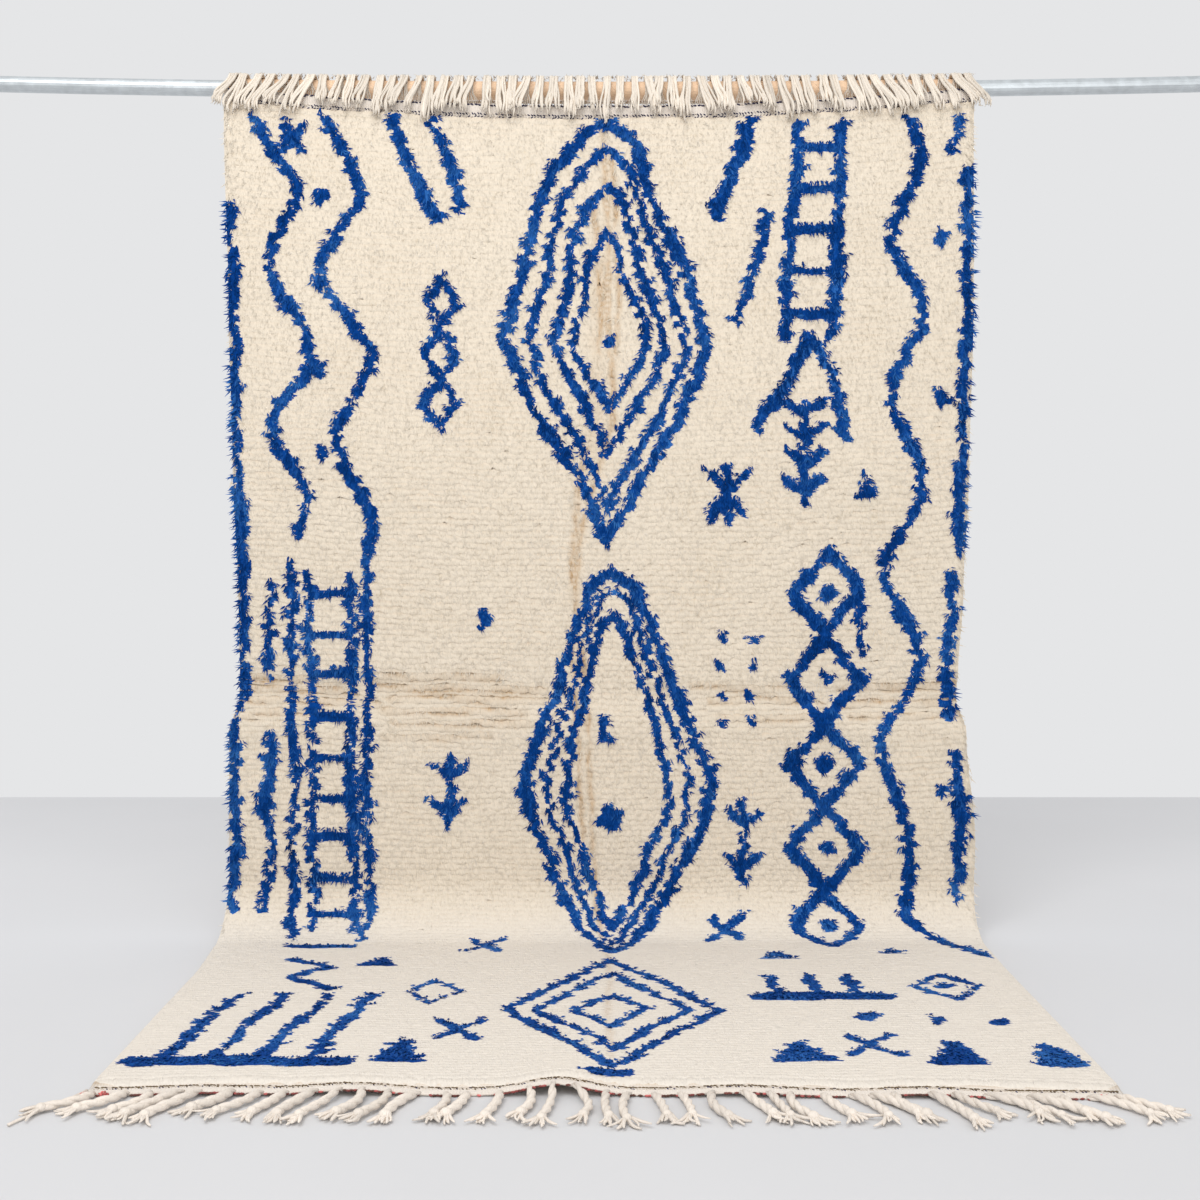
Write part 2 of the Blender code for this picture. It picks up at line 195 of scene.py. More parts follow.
def across_rug(share):
    """The X of a share of the tube's length, from its left end to its right one."""
    return (share - 0.5) * 2 * HALF_WIDTH


def rod_rise(x):
    """How far the rod's axis is above its height at mid-span."""
    return ROD_RISE * x**2


def edge_at(along):
    """Left and right X of the rug at each length along the cloth."""
    table = np.array(EDGES)
    place = np.clip(np.searchsorted(table[:, 0], along) - 1, 0, len(table) - 2)
    low, high = table[place], table[place + 1]
    share = ease((along - low[..., 0]) / (high[..., 0] - low[..., 0]))[..., None]
    both = low[..., 1:] + (high[..., 1:] - low[..., 1:]) * share
    return both[..., 0], both[..., 1]


def share_across(share, along):
    """The X of a share of the rug's own width at each length along the cloth."""
    left, right = edge_at(along)
    return left + (right - left) * share


def laid_at(along):
    """0 where the cloth hangs, and 1 where it lies on the floor."""
    return ease((along - ARC - HANG) / BEND)


def kilim_top(x):
    """Length along the cloth of the upper edge of the upper flat-woven end."""
    middle = np.clip(1.0 - (x / HALF_WIDTH) ** 2, 0.0, None)
    return ARC + TOP_DROP_SIDE + (TOP_DROP_MIDDLE - TOP_DROP_SIDE) * middle


def woven_end(x):
    """Length along the cloth of the front edge."""
    return WOVEN_END + FRONT_SKEW * np.clip(x / HALF_WIDTH, 0.0, None)


def proud(x, along):
    """How far soft folds push the cloth forward."""
    total = sum(f.proud * hump(x - f.x, f.wide) * hump(along - f.along, f.tall) for f in FOLDS)
    below_top = ease((along - FOLD_FADE) / FOLD_FADE)
    above_bend = 1.0 - ease((along - (ARC + HANG - FOLD_FADE)) / (2 * FOLD_FADE))
    return total * below_top * above_bend


def lift(x, reach):
    """Height of the front edge's waves at a distance in front of the rod."""
    fade = ease(1.0 - (FLOOR_REACH - reach) / LIFT_DEPTH)
    return fade * sum(wave.high * hump(x - wave.x, wave.wide) for wave in LIFTS)


def cloth_frame(x, along):
    """Each place's point on the cloth's back, its direction out and its direction down."""
    x, along = np.broadcast_arrays(np.asarray(x, float), np.asarray(along, float))
    past_hang = np.clip(along - ARC - HANG, 0.0, None)
    turn = np.minimum(along, ARC) / WRAP_RADIUS
    turn = turn - np.minimum(past_hang, BEND) / BEND_RADIUS
    zero = np.zeros_like(turn)
    out = np.stack([zero, -np.sin(turn), np.cos(turn)], -1)
    down = np.stack([zero, -np.cos(turn), -np.sin(turn)], -1)
    on_tube = along < ARC
    in_bend = (past_hang > 0.0) & (past_hang < BEND)
    on_floor = past_hang >= BEND
    reach = np.where(on_tube, np.sin(turn) * WRAP_RADIUS, WRAP_RADIUS)
    high = np.where(on_tube, ROD_Z + np.cos(turn) * WRAP_RADIUS, ROD_Z - (along - ARC))
    reach = np.where(in_bend, WRAP_RADIUS + BEND_RADIUS * (1.0 - np.sin(turn)), reach)
    high = np.where(in_bend, BEND_RADIUS * (1.0 - np.cos(turn)), high)
    reach = np.where(on_floor, WRAP_RADIUS + BEND_RADIUS + past_hang - BEND, reach)
    high = np.where(on_floor, lift(x, reach), high)
    high = high + rod_rise(x) * np.clip((high - BEND_RADIUS) / HANG, 0.0, 1.0)
    back = np.stack([x, ROD_Y - reach, high], -1)
    return back + out * proud(x, along)[..., None], out, down


def cloth_point(x, along, height):
    """A point at a height over the cloth's back face."""
    back, out, _ = cloth_frame(x, along)
    return back + out * np.asarray(height, float)[..., None]


# ---------------------------------------------------------------- the knotter's chart

Stroke = namedtuple("Stroke", "x0 along0 x1 along1 wide")
Ring = namedtuple("Ring", "top bottom left right wide")

# Widths of the knotted lines
BAR = 0.048
LINE = 0.024
THIN = 0.019
FINE = 0.018

WEDGE_STEPS = 6  # strokes that fill a triangle
CHART_WANDER = 0.006  # how far a drawn line strays
HEFT = 0.28  # how much a line's width varies along it
STROKE_SHRINK = 0.0002  # the knotted line is this much inside its drawn outline
CHART_REACH = 0.04  # distances to strokes beyond this aren't told apart

# Nested lozenges of the middle column, from the outer ring in. Each has its widest row, and
# (share of the way to the tip, share of the half width) pairs for its four sides.
Lozenge = namedtuple("Lozenge", "x widest above_left above_right below_left below_right rings")
STRAIGHT = [(0.0, 1.0), (1.0, 0.0)]
SWOLLEN = [(0.0, 1.0), (0.20, 0.93), (0.46, 0.64), (0.80, 0.23), (1.0, 0.0)]
TAPERED = [(0.0, 1.0), (0.38, 0.66), (0.68, 0.42), (0.94, 0.20), (1.0, 0.0)]
LOZENGES = [
    Lozenge(
        0.014, 0.580,
        [(0.0, 1.0), (0.36, 0.78), (0.74, 0.56), (0.95, 0.18), (1.0, 0.0)],
        [(0.0, 1.0), (0.35, 0.80), (0.63, 0.48), (0.89, 0.28), (1.0, 0.0)],
        [(0.0, 1.0), (0.30, 0.72), (0.60, 0.36), (0.85, 0.12), (1.0, 0.0)],
        SWOLLEN,
        [
            Ring(0.108, 1.005, -0.208, 0.222, 0.024),
            Ring(0.168, 0.925, -0.154, 0.180, 0.018),
            Ring(0.245, 0.815, -0.100, 0.134, 0.019),
            Ring(0.345, 0.720, -0.058, 0.100, 0.017),
        ],
    ),
    Lozenge(0.026, 1.503, TAPERED, TAPERED, SWOLLEN, SWOLLEN, [
        Ring(1.066, 1.995, -0.162, 0.238, 0.023),
        Ring(1.108, 1.930, -0.118, 0.194, 0.014),
        Ring(1.165, 1.860, -0.078, 0.152, 0.017),
    ]),
    Lozenge(0.022, 2.370, STRAIGHT, STRAIGHT, STRAIGHT, STRAIGHT, [
        Ring(2.045, 2.665, -0.170, 0.214, 0.022),
        Ring(2.140, 2.575, -0.112, 0.158, 0.018),
        Ring(2.285, 2.465, -0.044, 0.078, 0.018),
    ]),
]


def path(wide, *points):
    """Strokes through a run of (x, along) points."""
    return [Stroke(*a, *b, wide) for a, b in zip(points, points[1:])]


def wander(wide, *points):
    """Strokes along a smooth line through the neighbourhood of its (x, along) points."""
    for _ in range(2):
        cut = [points[0]]
        for (x0, along0), (x1, along1) in zip(points, points[1:]):
            cut.append((x0 * 0.75 + x1 * 0.25, along0 * 0.75 + along1 * 0.25))
            cut.append((x0 * 0.25 + x1 * 0.75, along0 * 0.25 + along1 * 0.75))
        points = [*cut, points[-1]]
    return path(wide, *points)


def ladder(left, right, top, bottom, rungs, lean=0.0, wide=LINE):
    """Two uprights with rungs between them."""
    strokes = [
        Stroke(left, top, left + lean, bottom, wide),
        Stroke(right, top, right + lean, bottom, wide),
    ]
    for rung in range(rungs):
        share = (rung + 0.5) / rungs
        along = top + (bottom - top) * share
        strokes.append(Stroke(left + lean * share, along, right + lean * share, along, FINE))
    return strokes


def chain(x, top, bottom, links, half_wide, wide=LINE):
    """Open lozenges one under another."""
    strokes = []
    tall = (bottom - top) / links
    for link in range(links):
        high = top + tall * link
        corners = [(x, high), (x + half_wide, high + tall / 2), (x, high + tall)]
        strokes += path(wide, *corners)
        corners[1] = (x - half_wide, high + tall / 2)
        strokes += path(wide, *corners)
    return strokes


def saltire(x, along, reach):
    """A small diagonal cross."""
    low, high = along - reach, along + reach
    left, right = x - reach * 0.8, x + reach * 0.8
    return [Stroke(left, low, right, high, FINE), Stroke(right, low, left, high, FINE)]


def block(x, along, wide, tall):
    """A solid patch, as one thick stroke along its longer way."""
    if wide > tall:
        half = (wide - tall) / 2
        return [Stroke(x - half, along, x + half, along, tall)]
    half = (tall - wide) / 2
    return [Stroke(x, along - half, x, along + half, wide)]


def twig(x, top, bottom, pairs, reach):
    """A stem with pairs of slanting side shoots."""
    strokes = [Stroke(x, top, x, bottom, FINE)]
    for pair in range(pairs):
        foot = bottom - (bottom - top) * (pair + 0.4) / pairs
        for side in (-1, 1):
            strokes.append(Stroke(x, foot, x + side * reach, foot - reach * 0.8, FINE))
    return strokes


def comb(left, right, base, teeth, tall, lean):
    """A bar with long teeth that stand on it."""
    strokes = [Stroke(left, base, right, base, BAR)]
    for tooth in range(teeth):
        x = left + (right - left) * (tooth + 0.4) / teeth
        strokes += path(LINE, (x, base), (x + lean * 0.4, base - tall * 0.5), (x + lean, base - tall))
    return strokes


def wedge(x, along, wide, tall):
    """A solid triangle, its base towards the front edge."""
    strokes = []
    for step in range(WEDGE_STEPS):
        half = wide / 2 * (step + 0.5) / WEDGE_STEPS
        row = along - tall / 2 + tall * (step + 0.5) / WEDGE_STEPS
        strokes.append(Stroke(x - half, row, x + half, row, tall / WEDGE_STEPS * 1.2))
    return strokes


def left_figures():
    """Lines and small figures to the left of the lozenges."""
    return [
        *path(LINE, (-0.786, 0.30), (-0.784, 0.50), (-0.777, 0.85), (-0.767, 1.10), (-0.766, 1.27)),
        *path(LINE, (-0.766, 1.27), (-0.770, 1.34), (-0.789, 1.41), (-0.790, 1.65), (-0.794, 1.80)),
        *wander(
            LINE, (-0.735, 0.105), (-0.690, 0.18), (-0.635, 0.26), (-0.700, 0.36), (-0.715, 0.45),
            (-0.620, 0.55), (-0.610, 0.62), (-0.705, 0.73), (-0.690, 0.80), (-0.620, 0.90), (-0.650, 0.99),
        ),
        *wander(
            LINE, (-0.590, 0.105), (-0.520, 0.22), (-0.500, 0.28), (-0.590, 0.38), (-0.585, 0.46),
            (-0.500, 0.57), (-0.480, 0.64), (-0.570, 0.75), (-0.560, 0.82), (-0.490, 0.92), (-0.490, 1.02),
        ),
        *[s for along in (0.27, 0.455, 0.635, 0.815) for s in block(-0.600, along, 0.028, 0.040)],
        *path(0.028, (-0.440, 0.105), (-0.405, 0.20), (-0.350, 0.31)),
        *path(0.022, (-0.360, 0.105), (-0.325, 0.19), (-0.295, 0.30)),
        *saltire(-0.655, 0.150, 0.024),
        *ladder(-0.625, -0.540, 1.07, 1.86, 9, 0.010, 0.020),
        *wander(
            THIN, (-0.664, 1.05), (-0.656, 1.20), (-0.668, 1.38), (-0.654, 1.55), (-0.664, 1.72),
            (-0.650, 1.90),
        ),
        *wander(
            THIN, (-0.500, 1.04), (-0.506, 1.22), (-0.496, 1.40), (-0.508, 1.60), (-0.494, 1.76),
            (-0.500, 1.90),
        ),
        *path(FINE, (-0.705, 1.10), (-0.712, 1.30)),
        *wander(LINE, (-0.705, 1.42), (-0.730, 1.56), (-0.705, 1.66), (-0.725, 1.80)),
        *chain(-0.340, 0.44, 0.76, 3, 0.036, FINE),
        *block(-0.250, 1.17, 0.030, 0.055),
        *twig(-0.325, 1.46, 1.62, 2, 0.034),
        *saltire(-0.240, 1.94, 0.040),
        *block(-0.585, 1.945, 0.150, 0.030),
        *comb(-0.745, -0.420, 2.640, 4, 0.36, 0.050),
        *wedge(-0.440, 2.060, 0.070, 0.050),
        *wedge(-0.330, 2.590, 0.080, 0.110),
        *path(LINE, (-0.620, 2.04), (-0.530, 2.10), (-0.600, 2.17), (-0.500, 2.24)),
        *chain(-0.310, 2.190, 2.330, 1, 0.046, 0.014),
        *saltire(-0.245, 2.480, 0.050),
    ]


def right_figures():
    """Lines and small figures to the right of the lozenges."""
    return [
        *wander(
            LINE, (0.655, 0.105), (0.690, 0.20), (0.625, 0.31), (0.615, 0.38), (0.690, 0.48),
            (0.695, 0.55), (0.620, 0.66), (0.625, 0.73), (0.695, 0.84), (0.690, 0.92), (0.615, 1.03),
            (0.620, 1.11), (0.690, 1.22), (0.680, 1.31), (0.600, 1.42), (0.610, 1.51), (0.680, 1.62),
            (0.665, 1.72), (0.650, 1.82), (0.730, 1.93), (0.790, 2.02),
        ),
        *path(LINE, (0.786, 0.22), (0.788, 0.50), (0.776, 0.66), (0.780, 0.84), (0.768, 1.02)),
        *path(LINE, (0.752, 1.08), (0.746, 1.24), (0.750, 1.38)),
        *path(LINE, (0.772, 1.46), (0.776, 1.66), (0.765, 1.78)),
        *path(0.028, (0.320, 0.110), (0.290, 0.20), (0.250, 0.31)),
        *path(0.022, (0.765, 0.105), (0.740, 0.17)),
        *ladder(0.420, 0.520, 0.12, 0.56, 5, -0.024, 0.026),
        *path(LINE, (0.450, 0.56), (0.395, 0.66), (0.335, 0.76)),
        *path(LINE, (0.450, 0.56), (0.500, 0.67), (0.530, 0.78)),
        *path(0.020, (0.355, 0.30), (0.335, 0.40), (0.290, 0.53)),
        *twig(0.440, 0.70, 0.92, 4, 0.040),
        *saltire(0.270, 0.900, 0.050),
        *path(FINE, (0.270, 0.840), (0.270, 0.960)),
        *wedge(0.565, 0.880, 0.050, 0.050),
        *chain(0.485, 1.02, 1.94, 5, 0.076, 0.025),
        *[s for rung in range(5) for s in block(0.485, 1.112 + 0.184 * rung, 0.034, 0.036)],
        *[s for x in (0.265, 0.325) for a in (1.210, 1.270, 1.330, 1.390) for s in block(x, a, 0.020, 0.026)],
        *block(0.725, 0.36, 0.020, 0.045),
        *block(0.730, 0.70, 0.024, 0.040),
        *path(FINE, (0.560, 1.13), (0.566, 1.24)),
        *block(0.735, 1.54, 0.026, 0.040),
        *twig(0.310, 1.56, 1.74, 2, 0.034),
        *saltire(0.270, 1.860, 0.040),
        *wedge(0.360, 2.010, 0.080, 0.050),
        *wedge(0.600, 1.980, 0.060, 0.040),
        *chain(0.655, 2.150, 2.310, 1, 0.060, FINE),
        *block(0.655, 2.230, 0.036, 0.030),
        *comb(0.300, 0.520, 2.290, 3, 0.13, 0.0),
        *block(0.475, 2.410, 0.040, 0.050),
        *wedge(0.330, 2.590, 0.110, 0.100),
        *saltire(0.455, 2.560, 0.050),
        *wedge(0.580, 2.600, 0.080, 0.110),
        *wedge(0.740, 2.610, 0.080, 0.100),
        *block(0.700, 2.440, 0.030, 0.034),
        *block(0.590, 2.430, 0.026, 0.050),
    ]


def inner_marks():
    """Marks inside the lozenges and the bar under the lowest one."""
    return [
        *block(0.018, 0.572, 0.024, 0.026),
        *path(0.022, (0.006, 1.380), (0.006, 1.420), (0.028, 1.424)),
        *block(0.024, 1.600, 0.040, 0.052),
        *block(0.020, 2.694, 0.084, 0.030),
    ]


def ring_strokes(lozenge, ring):
    """One outline of a lozenge, both sides, from its widest row to its tips."""
    strokes = []
    sides = [
        (ring.left, ring.top, lozenge.above_left),
        (ring.right, ring.top, lozenge.above_right),
        (ring.left, ring.bottom, lozenge.below_left),
        (ring.right, ring.bottom, lozenge.below_right),
    ]
    for edge, tip, profile in sides:
        reach, rise = edge - lozenge.x, tip - lozenge.widest
        points = [(lozenge.x + reach * wide, lozenge.widest + rise * share) for share, wide in profile]
        strokes += path(ring.wide, *points)
    return strokes


def segment_gap(x, along, x0, along0, x1, along1):
    """Distance of each place from a straight stroke, and its offset from it."""
    dx, da = x1 - x0, along1 - along0
    share = np.clip(((x - x0) * dx + (along - along0) * da) / (dx * dx + da * da + 1e-12), 0, 1)
    off_x = x - (x0 + dx * share)
    off_along = along - (along0 + da * share)
    return np.hypot(off_x, off_along), off_x, off_along


def waver(x, along, scale, seed):
    """A slow wandering number from about -1 to 1."""
    waves = [(0.45, 9.1, 5.3, 1.0), (0.35, -4.7, 13.9, 2.1), (0.2, 21.0, -17.0, 0.7)]
    return sum(part * np.sin(x * a * scale + along * b * scale + seed * c) for part, a, b, c in waves)


def chart_gap(x, along):
    """Distance of each place from the nearest stroke's outline, below zero inside a stroke."""
    strokes = [*left_figures(), *right_figures(), *inner_marks()]
    for lozenge in LOZENGES:
        for ring in lozenge.rings:
            strokes += ring_strokes(lozenge, ring)
    flat_x = (x + CHART_WANDER * waver(x, along, 2.2, 1.0)).ravel()
    flat_along = (along + CHART_WANDER * waver(x, along, 2.7, 4.0)).ravel()
    heft = 1.0 + HEFT * waver(flat_x, flat_along, 3.6, 2.0)
    nearest = np.full(flat_x.shape, CHART_REACH)
    for s in strokes:
        near = (flat_x > min(s.x0, s.x1) - CHART_REACH) & (flat_x < max(s.x0, s.x1) + CHART_REACH)
        near &= (flat_along > min(s.along0, s.along1) - CHART_REACH)
        near &= (flat_along < max(s.along0, s.along1) + CHART_REACH)
        near = np.flatnonzero(near)
        gap, _, _ = segment_gap(flat_x[near], flat_along[near], s.x0, s.along0, s.x1, s.along1)
        nearest[near] = np.minimum(nearest[near], gap - s.wide / 2 * heft[near] + STROKE_SHRINK)
    return nearest.reshape(x.shape)


def crease_at(x, along):
    """How deep each place lies in a crease, and the way its locks part."""
    (far_x, *way_x), (far_along, *way_along) = CREASE_STRAYS
    x = x + far_x * waver(x, along, *way_x)
    along = along + far_along * waver(x, along, *way_along)
    deepest = np.zeros(x.shape)
    part_x = np.zeros(x.shape)
    part_along = np.zeros(x.shape)
    for crease in CREASES:
        for (x0, along0), (x1, along1) in zip(crease.points, crease.points[1:]):
            gap, off_x, off_along = segment_gap(x, along, x0, along0, x1, along1)
            patchy = 0.85 + 0.45 * waver(x, along, 5.0, crease.depth * 7.0)
            depth = crease.depth * np.clip(patchy, 0.0, 1.0) * hump(gap, crease.wide)
            deeper = depth > deepest
            deepest = np.where(deeper, depth, deepest)
            part_x = np.where(deeper, off_x / (gap + 1e-4), part_x)
            part_along = np.where(deeper, off_along / (gap + 1e-4), part_along)
    return deepest, part_x, part_along


# ---------------------------------------------------------------- many small shapes at once

Shape = namedtuple("Shape", "points faces")
Batch = namedtuple("Batch", "points faces across up lay")
STRAND_MAP = "OFBake"  # across: a strand's own tone; up: the share of its length
MAP_LOW, MAP_SPAN, MAP_SPREAD = 0.03, 0.94, 0.004  # where a strand's points lie on that map
LOCK_FLAT = 0.7  # a lock's thickness for its width
UPWARDS = (0.0, 0.0, 1.0)
SIDEWAYS = np.array([1.0, 0.0, 0.0])


def shape_of(bm):
    """A bmesh's points and triangles as arrays."""
    bmesh.ops.triangulate(bm, faces=bm.faces)
    bm.verts.index_update()
    points = np.array([vert.co for vert in bm.verts])
    faces = np.array([[vert.index for vert in face.verts] for face in bm.faces])
    bm.free()
    return Shape(points, faces)


def column_shape(sides, tip, steps=1, waist=None):
    """A closed column along Z from 0 to 1, with a tip's radius, cut into even steps.

    A waist is the radius that its middle is brought to from a half.
    """
    bm = bmesh.new()
    bmesh.ops.create_cone(bm, cap_ends=True, segments=sides, radius1=1.0, radius2=tip, depth=1.0)
    bmesh.ops.remove_doubles(bm, verts=bm.verts, dist=1e-4)
    bmesh.ops.translate(bm, verts=bm.verts, vec=(0.0, 0.0, 0.5))
    if steps > 1:
        risers = [edge for edge in bm.edges if abs(edge.verts[0].co.z - edge.verts[1].co.z) > 0.5]
        bmesh.ops.subdivide_edges(bm, edges=risers, cuts=steps - 1)
    if waist:
        for vert in bm.verts:
            if 0.1 < vert.co.z < 0.9:
                vert.co.x *= waist * 2.0
                vert.co.y *= waist * 2.0
    bmesh.ops.recalc_face_normals(bm, faces=bm.faces)
    return shape_of(bm)


def hair_shape():
    """A three-sided spike."""
    return column_shape(3, 0.0)


def lock_shape(waist):
    """A three-sided spike with a waist."""
    return column_shape(3, 0.0, 2, waist)


def tube_shape(sides, steps):
    """A tube of one radius."""
    return column_shape(sides, 1.0, steps)


def ball_shape(fineness):
    """A round lump of radius 1."""
    bm = bmesh.new()
    bmesh.ops.create_icosphere(bm, subdivisions=fineness, radius=1.0)
    return shape_of(bm)


def lump_shape():
    """A lump of eight faces."""
    bm = bmesh.new()
    bmesh.ops.create_uvsphere(bm, u_segments=4, v_segments=2, radius=1.0)
    return shape_of(bm)


def copies(shape, points, across, up, lay=None):
    """One batch from a shape's moved points, an array of copies by points by 3."""
    count, corners, _ = points.shape
    size = (count, corners)
    faces = shape.faces
    first = points[0][faces]
    if np.einsum("fi,fi->", first[:, 0], np.cross(first[:, 1], first[:, 2])) < 0.0:
        faces = faces[:, ::-1]
    faces = faces[None] + corners * np.arange(count)[:, None, None]
    if lay is None:
        lay = np.zeros(3)
    lay = np.broadcast_to(lay, (*size, 3)).reshape(-1, 3)
    across, up = np.broadcast_to(across, size), np.broadcast_to(up, size)
    return Batch(points.reshape(-1, 3), faces.reshape(-1, 3), across.ravel(), up.ravel(), lay)


def strands(shape, points, tone, share, lay=None):
    """A batch whose map holds each copy's tone and the share of its length."""
    across = MAP_LOW + MAP_SPAN * np.asarray(tone, float)[:, None] + MAP_SPREAD * shape.points[None, :, 0]
    up = MAP_LOW + MAP_SPAN * share + MAP_SPREAD * shape.points[None, :, 1]
    return copies(shape, points, across, up, lay)


def bent_locks(shape, roots, out, lean, long, wide, rise, droop, tone):
    """Locks of wool that leave their roots near the normal and curl over along lean."""
    share = shape.points[None, :, 2]
    rise, droop = rise[:, None], droop[:, None]
    angle = rise + (droop - rise) * share
    reach = long[:, None] / (droop - rise)
    high = reach * (np.sin(angle) - np.sin(rise))
    far = reach * (np.cos(rise) - np.cos(angle))
    side = np.cross(out, lean)[:, None]
    out, lean = out[:, None], lean[:, None]
    through = out * np.sin(angle)[..., None] - lean * np.cos(angle)[..., None]
    wide = wide[:, None, None]
    points = roots[:, None] + out * high[..., None] + lean * far[..., None]
    points = points + side * (shape.points[None, :, :1] * wide)
    points = points + through * (shape.points[None, :, 1:2] * wide * LOCK_FLAT)
    return strands(shape, points, tone, share, out)


def swept(shape, paths, radii, tone, aside=SIDEWAYS):
    """Tubes along paths, an array of tubes by steps by 3, with a radius at each step.

    No path may run along the aside direction, which sets how each tube is turned.
    """
    steps = paths.shape[1]
    ring = np.rint(shape.points[:, 2] * (steps - 1)).astype(int)
    heading = unit(np.gradient(paths, axis=1))
    side = unit(np.cross(heading, aside))
    up = np.cross(heading, side)
    radius = radii[:, ring, None]
    points = paths[:, ring] + side[:, ring] * shape.points[None, :, :1] * radius
    points = points + up[:, ring] * shape.points[None, :, 1:2] * radius
    return strands(shape, points, tone, shape.points[None, :, 2])


def placed(shape, centres, axes, tone):
    """Lumps at centres, each stretched along three axes given as an array of copies by 3 by 3."""
    points = centres[:, None] + np.einsum("vk,nkj->nvj", shape.points, axes)
    return strands(shape, points, tone, 0.5 + 0.5 * shape.points[None, :, 2])


def plied(paths, offset, turns, ply, plies):
    """The path of one ply that winds round each given path."""
    steps = paths.shape[1]
    heading = unit(np.gradient(paths, axis=1))
    side = unit(np.cross(heading, UPWARDS) + 1e-9)
    up = np.cross(heading, side)
    turn = 2 * math.pi * (turns * np.linspace(0.0, 1.0, steps) + ply / plies)
    winding = side * np.cos(turn)[None, :, None] + up * np.sin(turn)[None, :, None]
    return paths + winding * offset


def joined_piece(name, batches, material, soft=0.0):
    """One mesh object from batches of small shapes, riding on the frame.

    Its shading turns by the soft share towards each batch's lay, as light spreads in wool.
    """
    mesh = bpy.data.meshes.new(name)
    starts = np.cumsum([0] + [len(batch.points) for batch in batches[:-1]])
    points = np.concatenate([batch.points for batch in batches]).astype(np.float32)
    faces = np.concatenate([b.faces + start for b, start in zip(batches, starts)])
    mesh.vertices.add(len(points))
    mesh.vertices.foreach_set("co", points.ravel())
    mesh.loops.add(faces.size)
    mesh.loops.foreach_set("vertex_index", faces.ravel().astype(np.int32))
    mesh.polygons.add(len(faces))
    mesh.polygons.foreach_set("loop_start", np.arange(0, faces.size, 3, dtype=np.int32))
    mesh.update(calc_edges=True)
    across = np.concatenate([batch.across for batch in batches])
    up = np.concatenate([batch.up for batch in batches])
    places = np.stack([across, up], -1)[faces.ravel()].astype(np.float32)
    mesh.uv_layers.new(name=STRAND_MAP).data.foreach_set("uv", places.ravel())
    mesh.shade_smooth()
    if soft:
        own = np.empty(points.size, np.float32)
        mesh.vertex_normals.foreach_get("vector", own)
        lay = np.concatenate([batch.lay for batch in batches])
        normals = unit(own.reshape(-1, 3) * (1.0 - soft) + lay * soft)
        mesh.normals_split_custom_set_from_vertices(normals)
    return finished(name, mesh, material)


def finished(name, mesh, material):
    """Puts a mesh in the scene, with its finish, riding on the frame."""
    mesh.materials.append(material)
    ob = bpy.data.objects.new(name, mesh)
    bpy.context.scene.collection.objects.link(ob)
    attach(ob, "root")
    return ob


# ---------------------------------------------------------------- finishes


class Number:
    """A number that a node's socket gives. Sums on it add Math nodes."""

    def __init__(self, finish, socket):
        self.finish = finish
        self.socket = socket

    def __add__(self, other):
        return self.finish.maths("ADD", self, other)

    def __sub__(self, other):
        return self.finish.maths("SUBTRACT", self, other)

    def __rsub__(self, other):
        return self.finish.maths("SUBTRACT", other, self)

    def __mul__(self, other):
        return self.finish.maths("MULTIPLY", self, other)

    __radd__ = __add__
    __rmul__ = __mul__


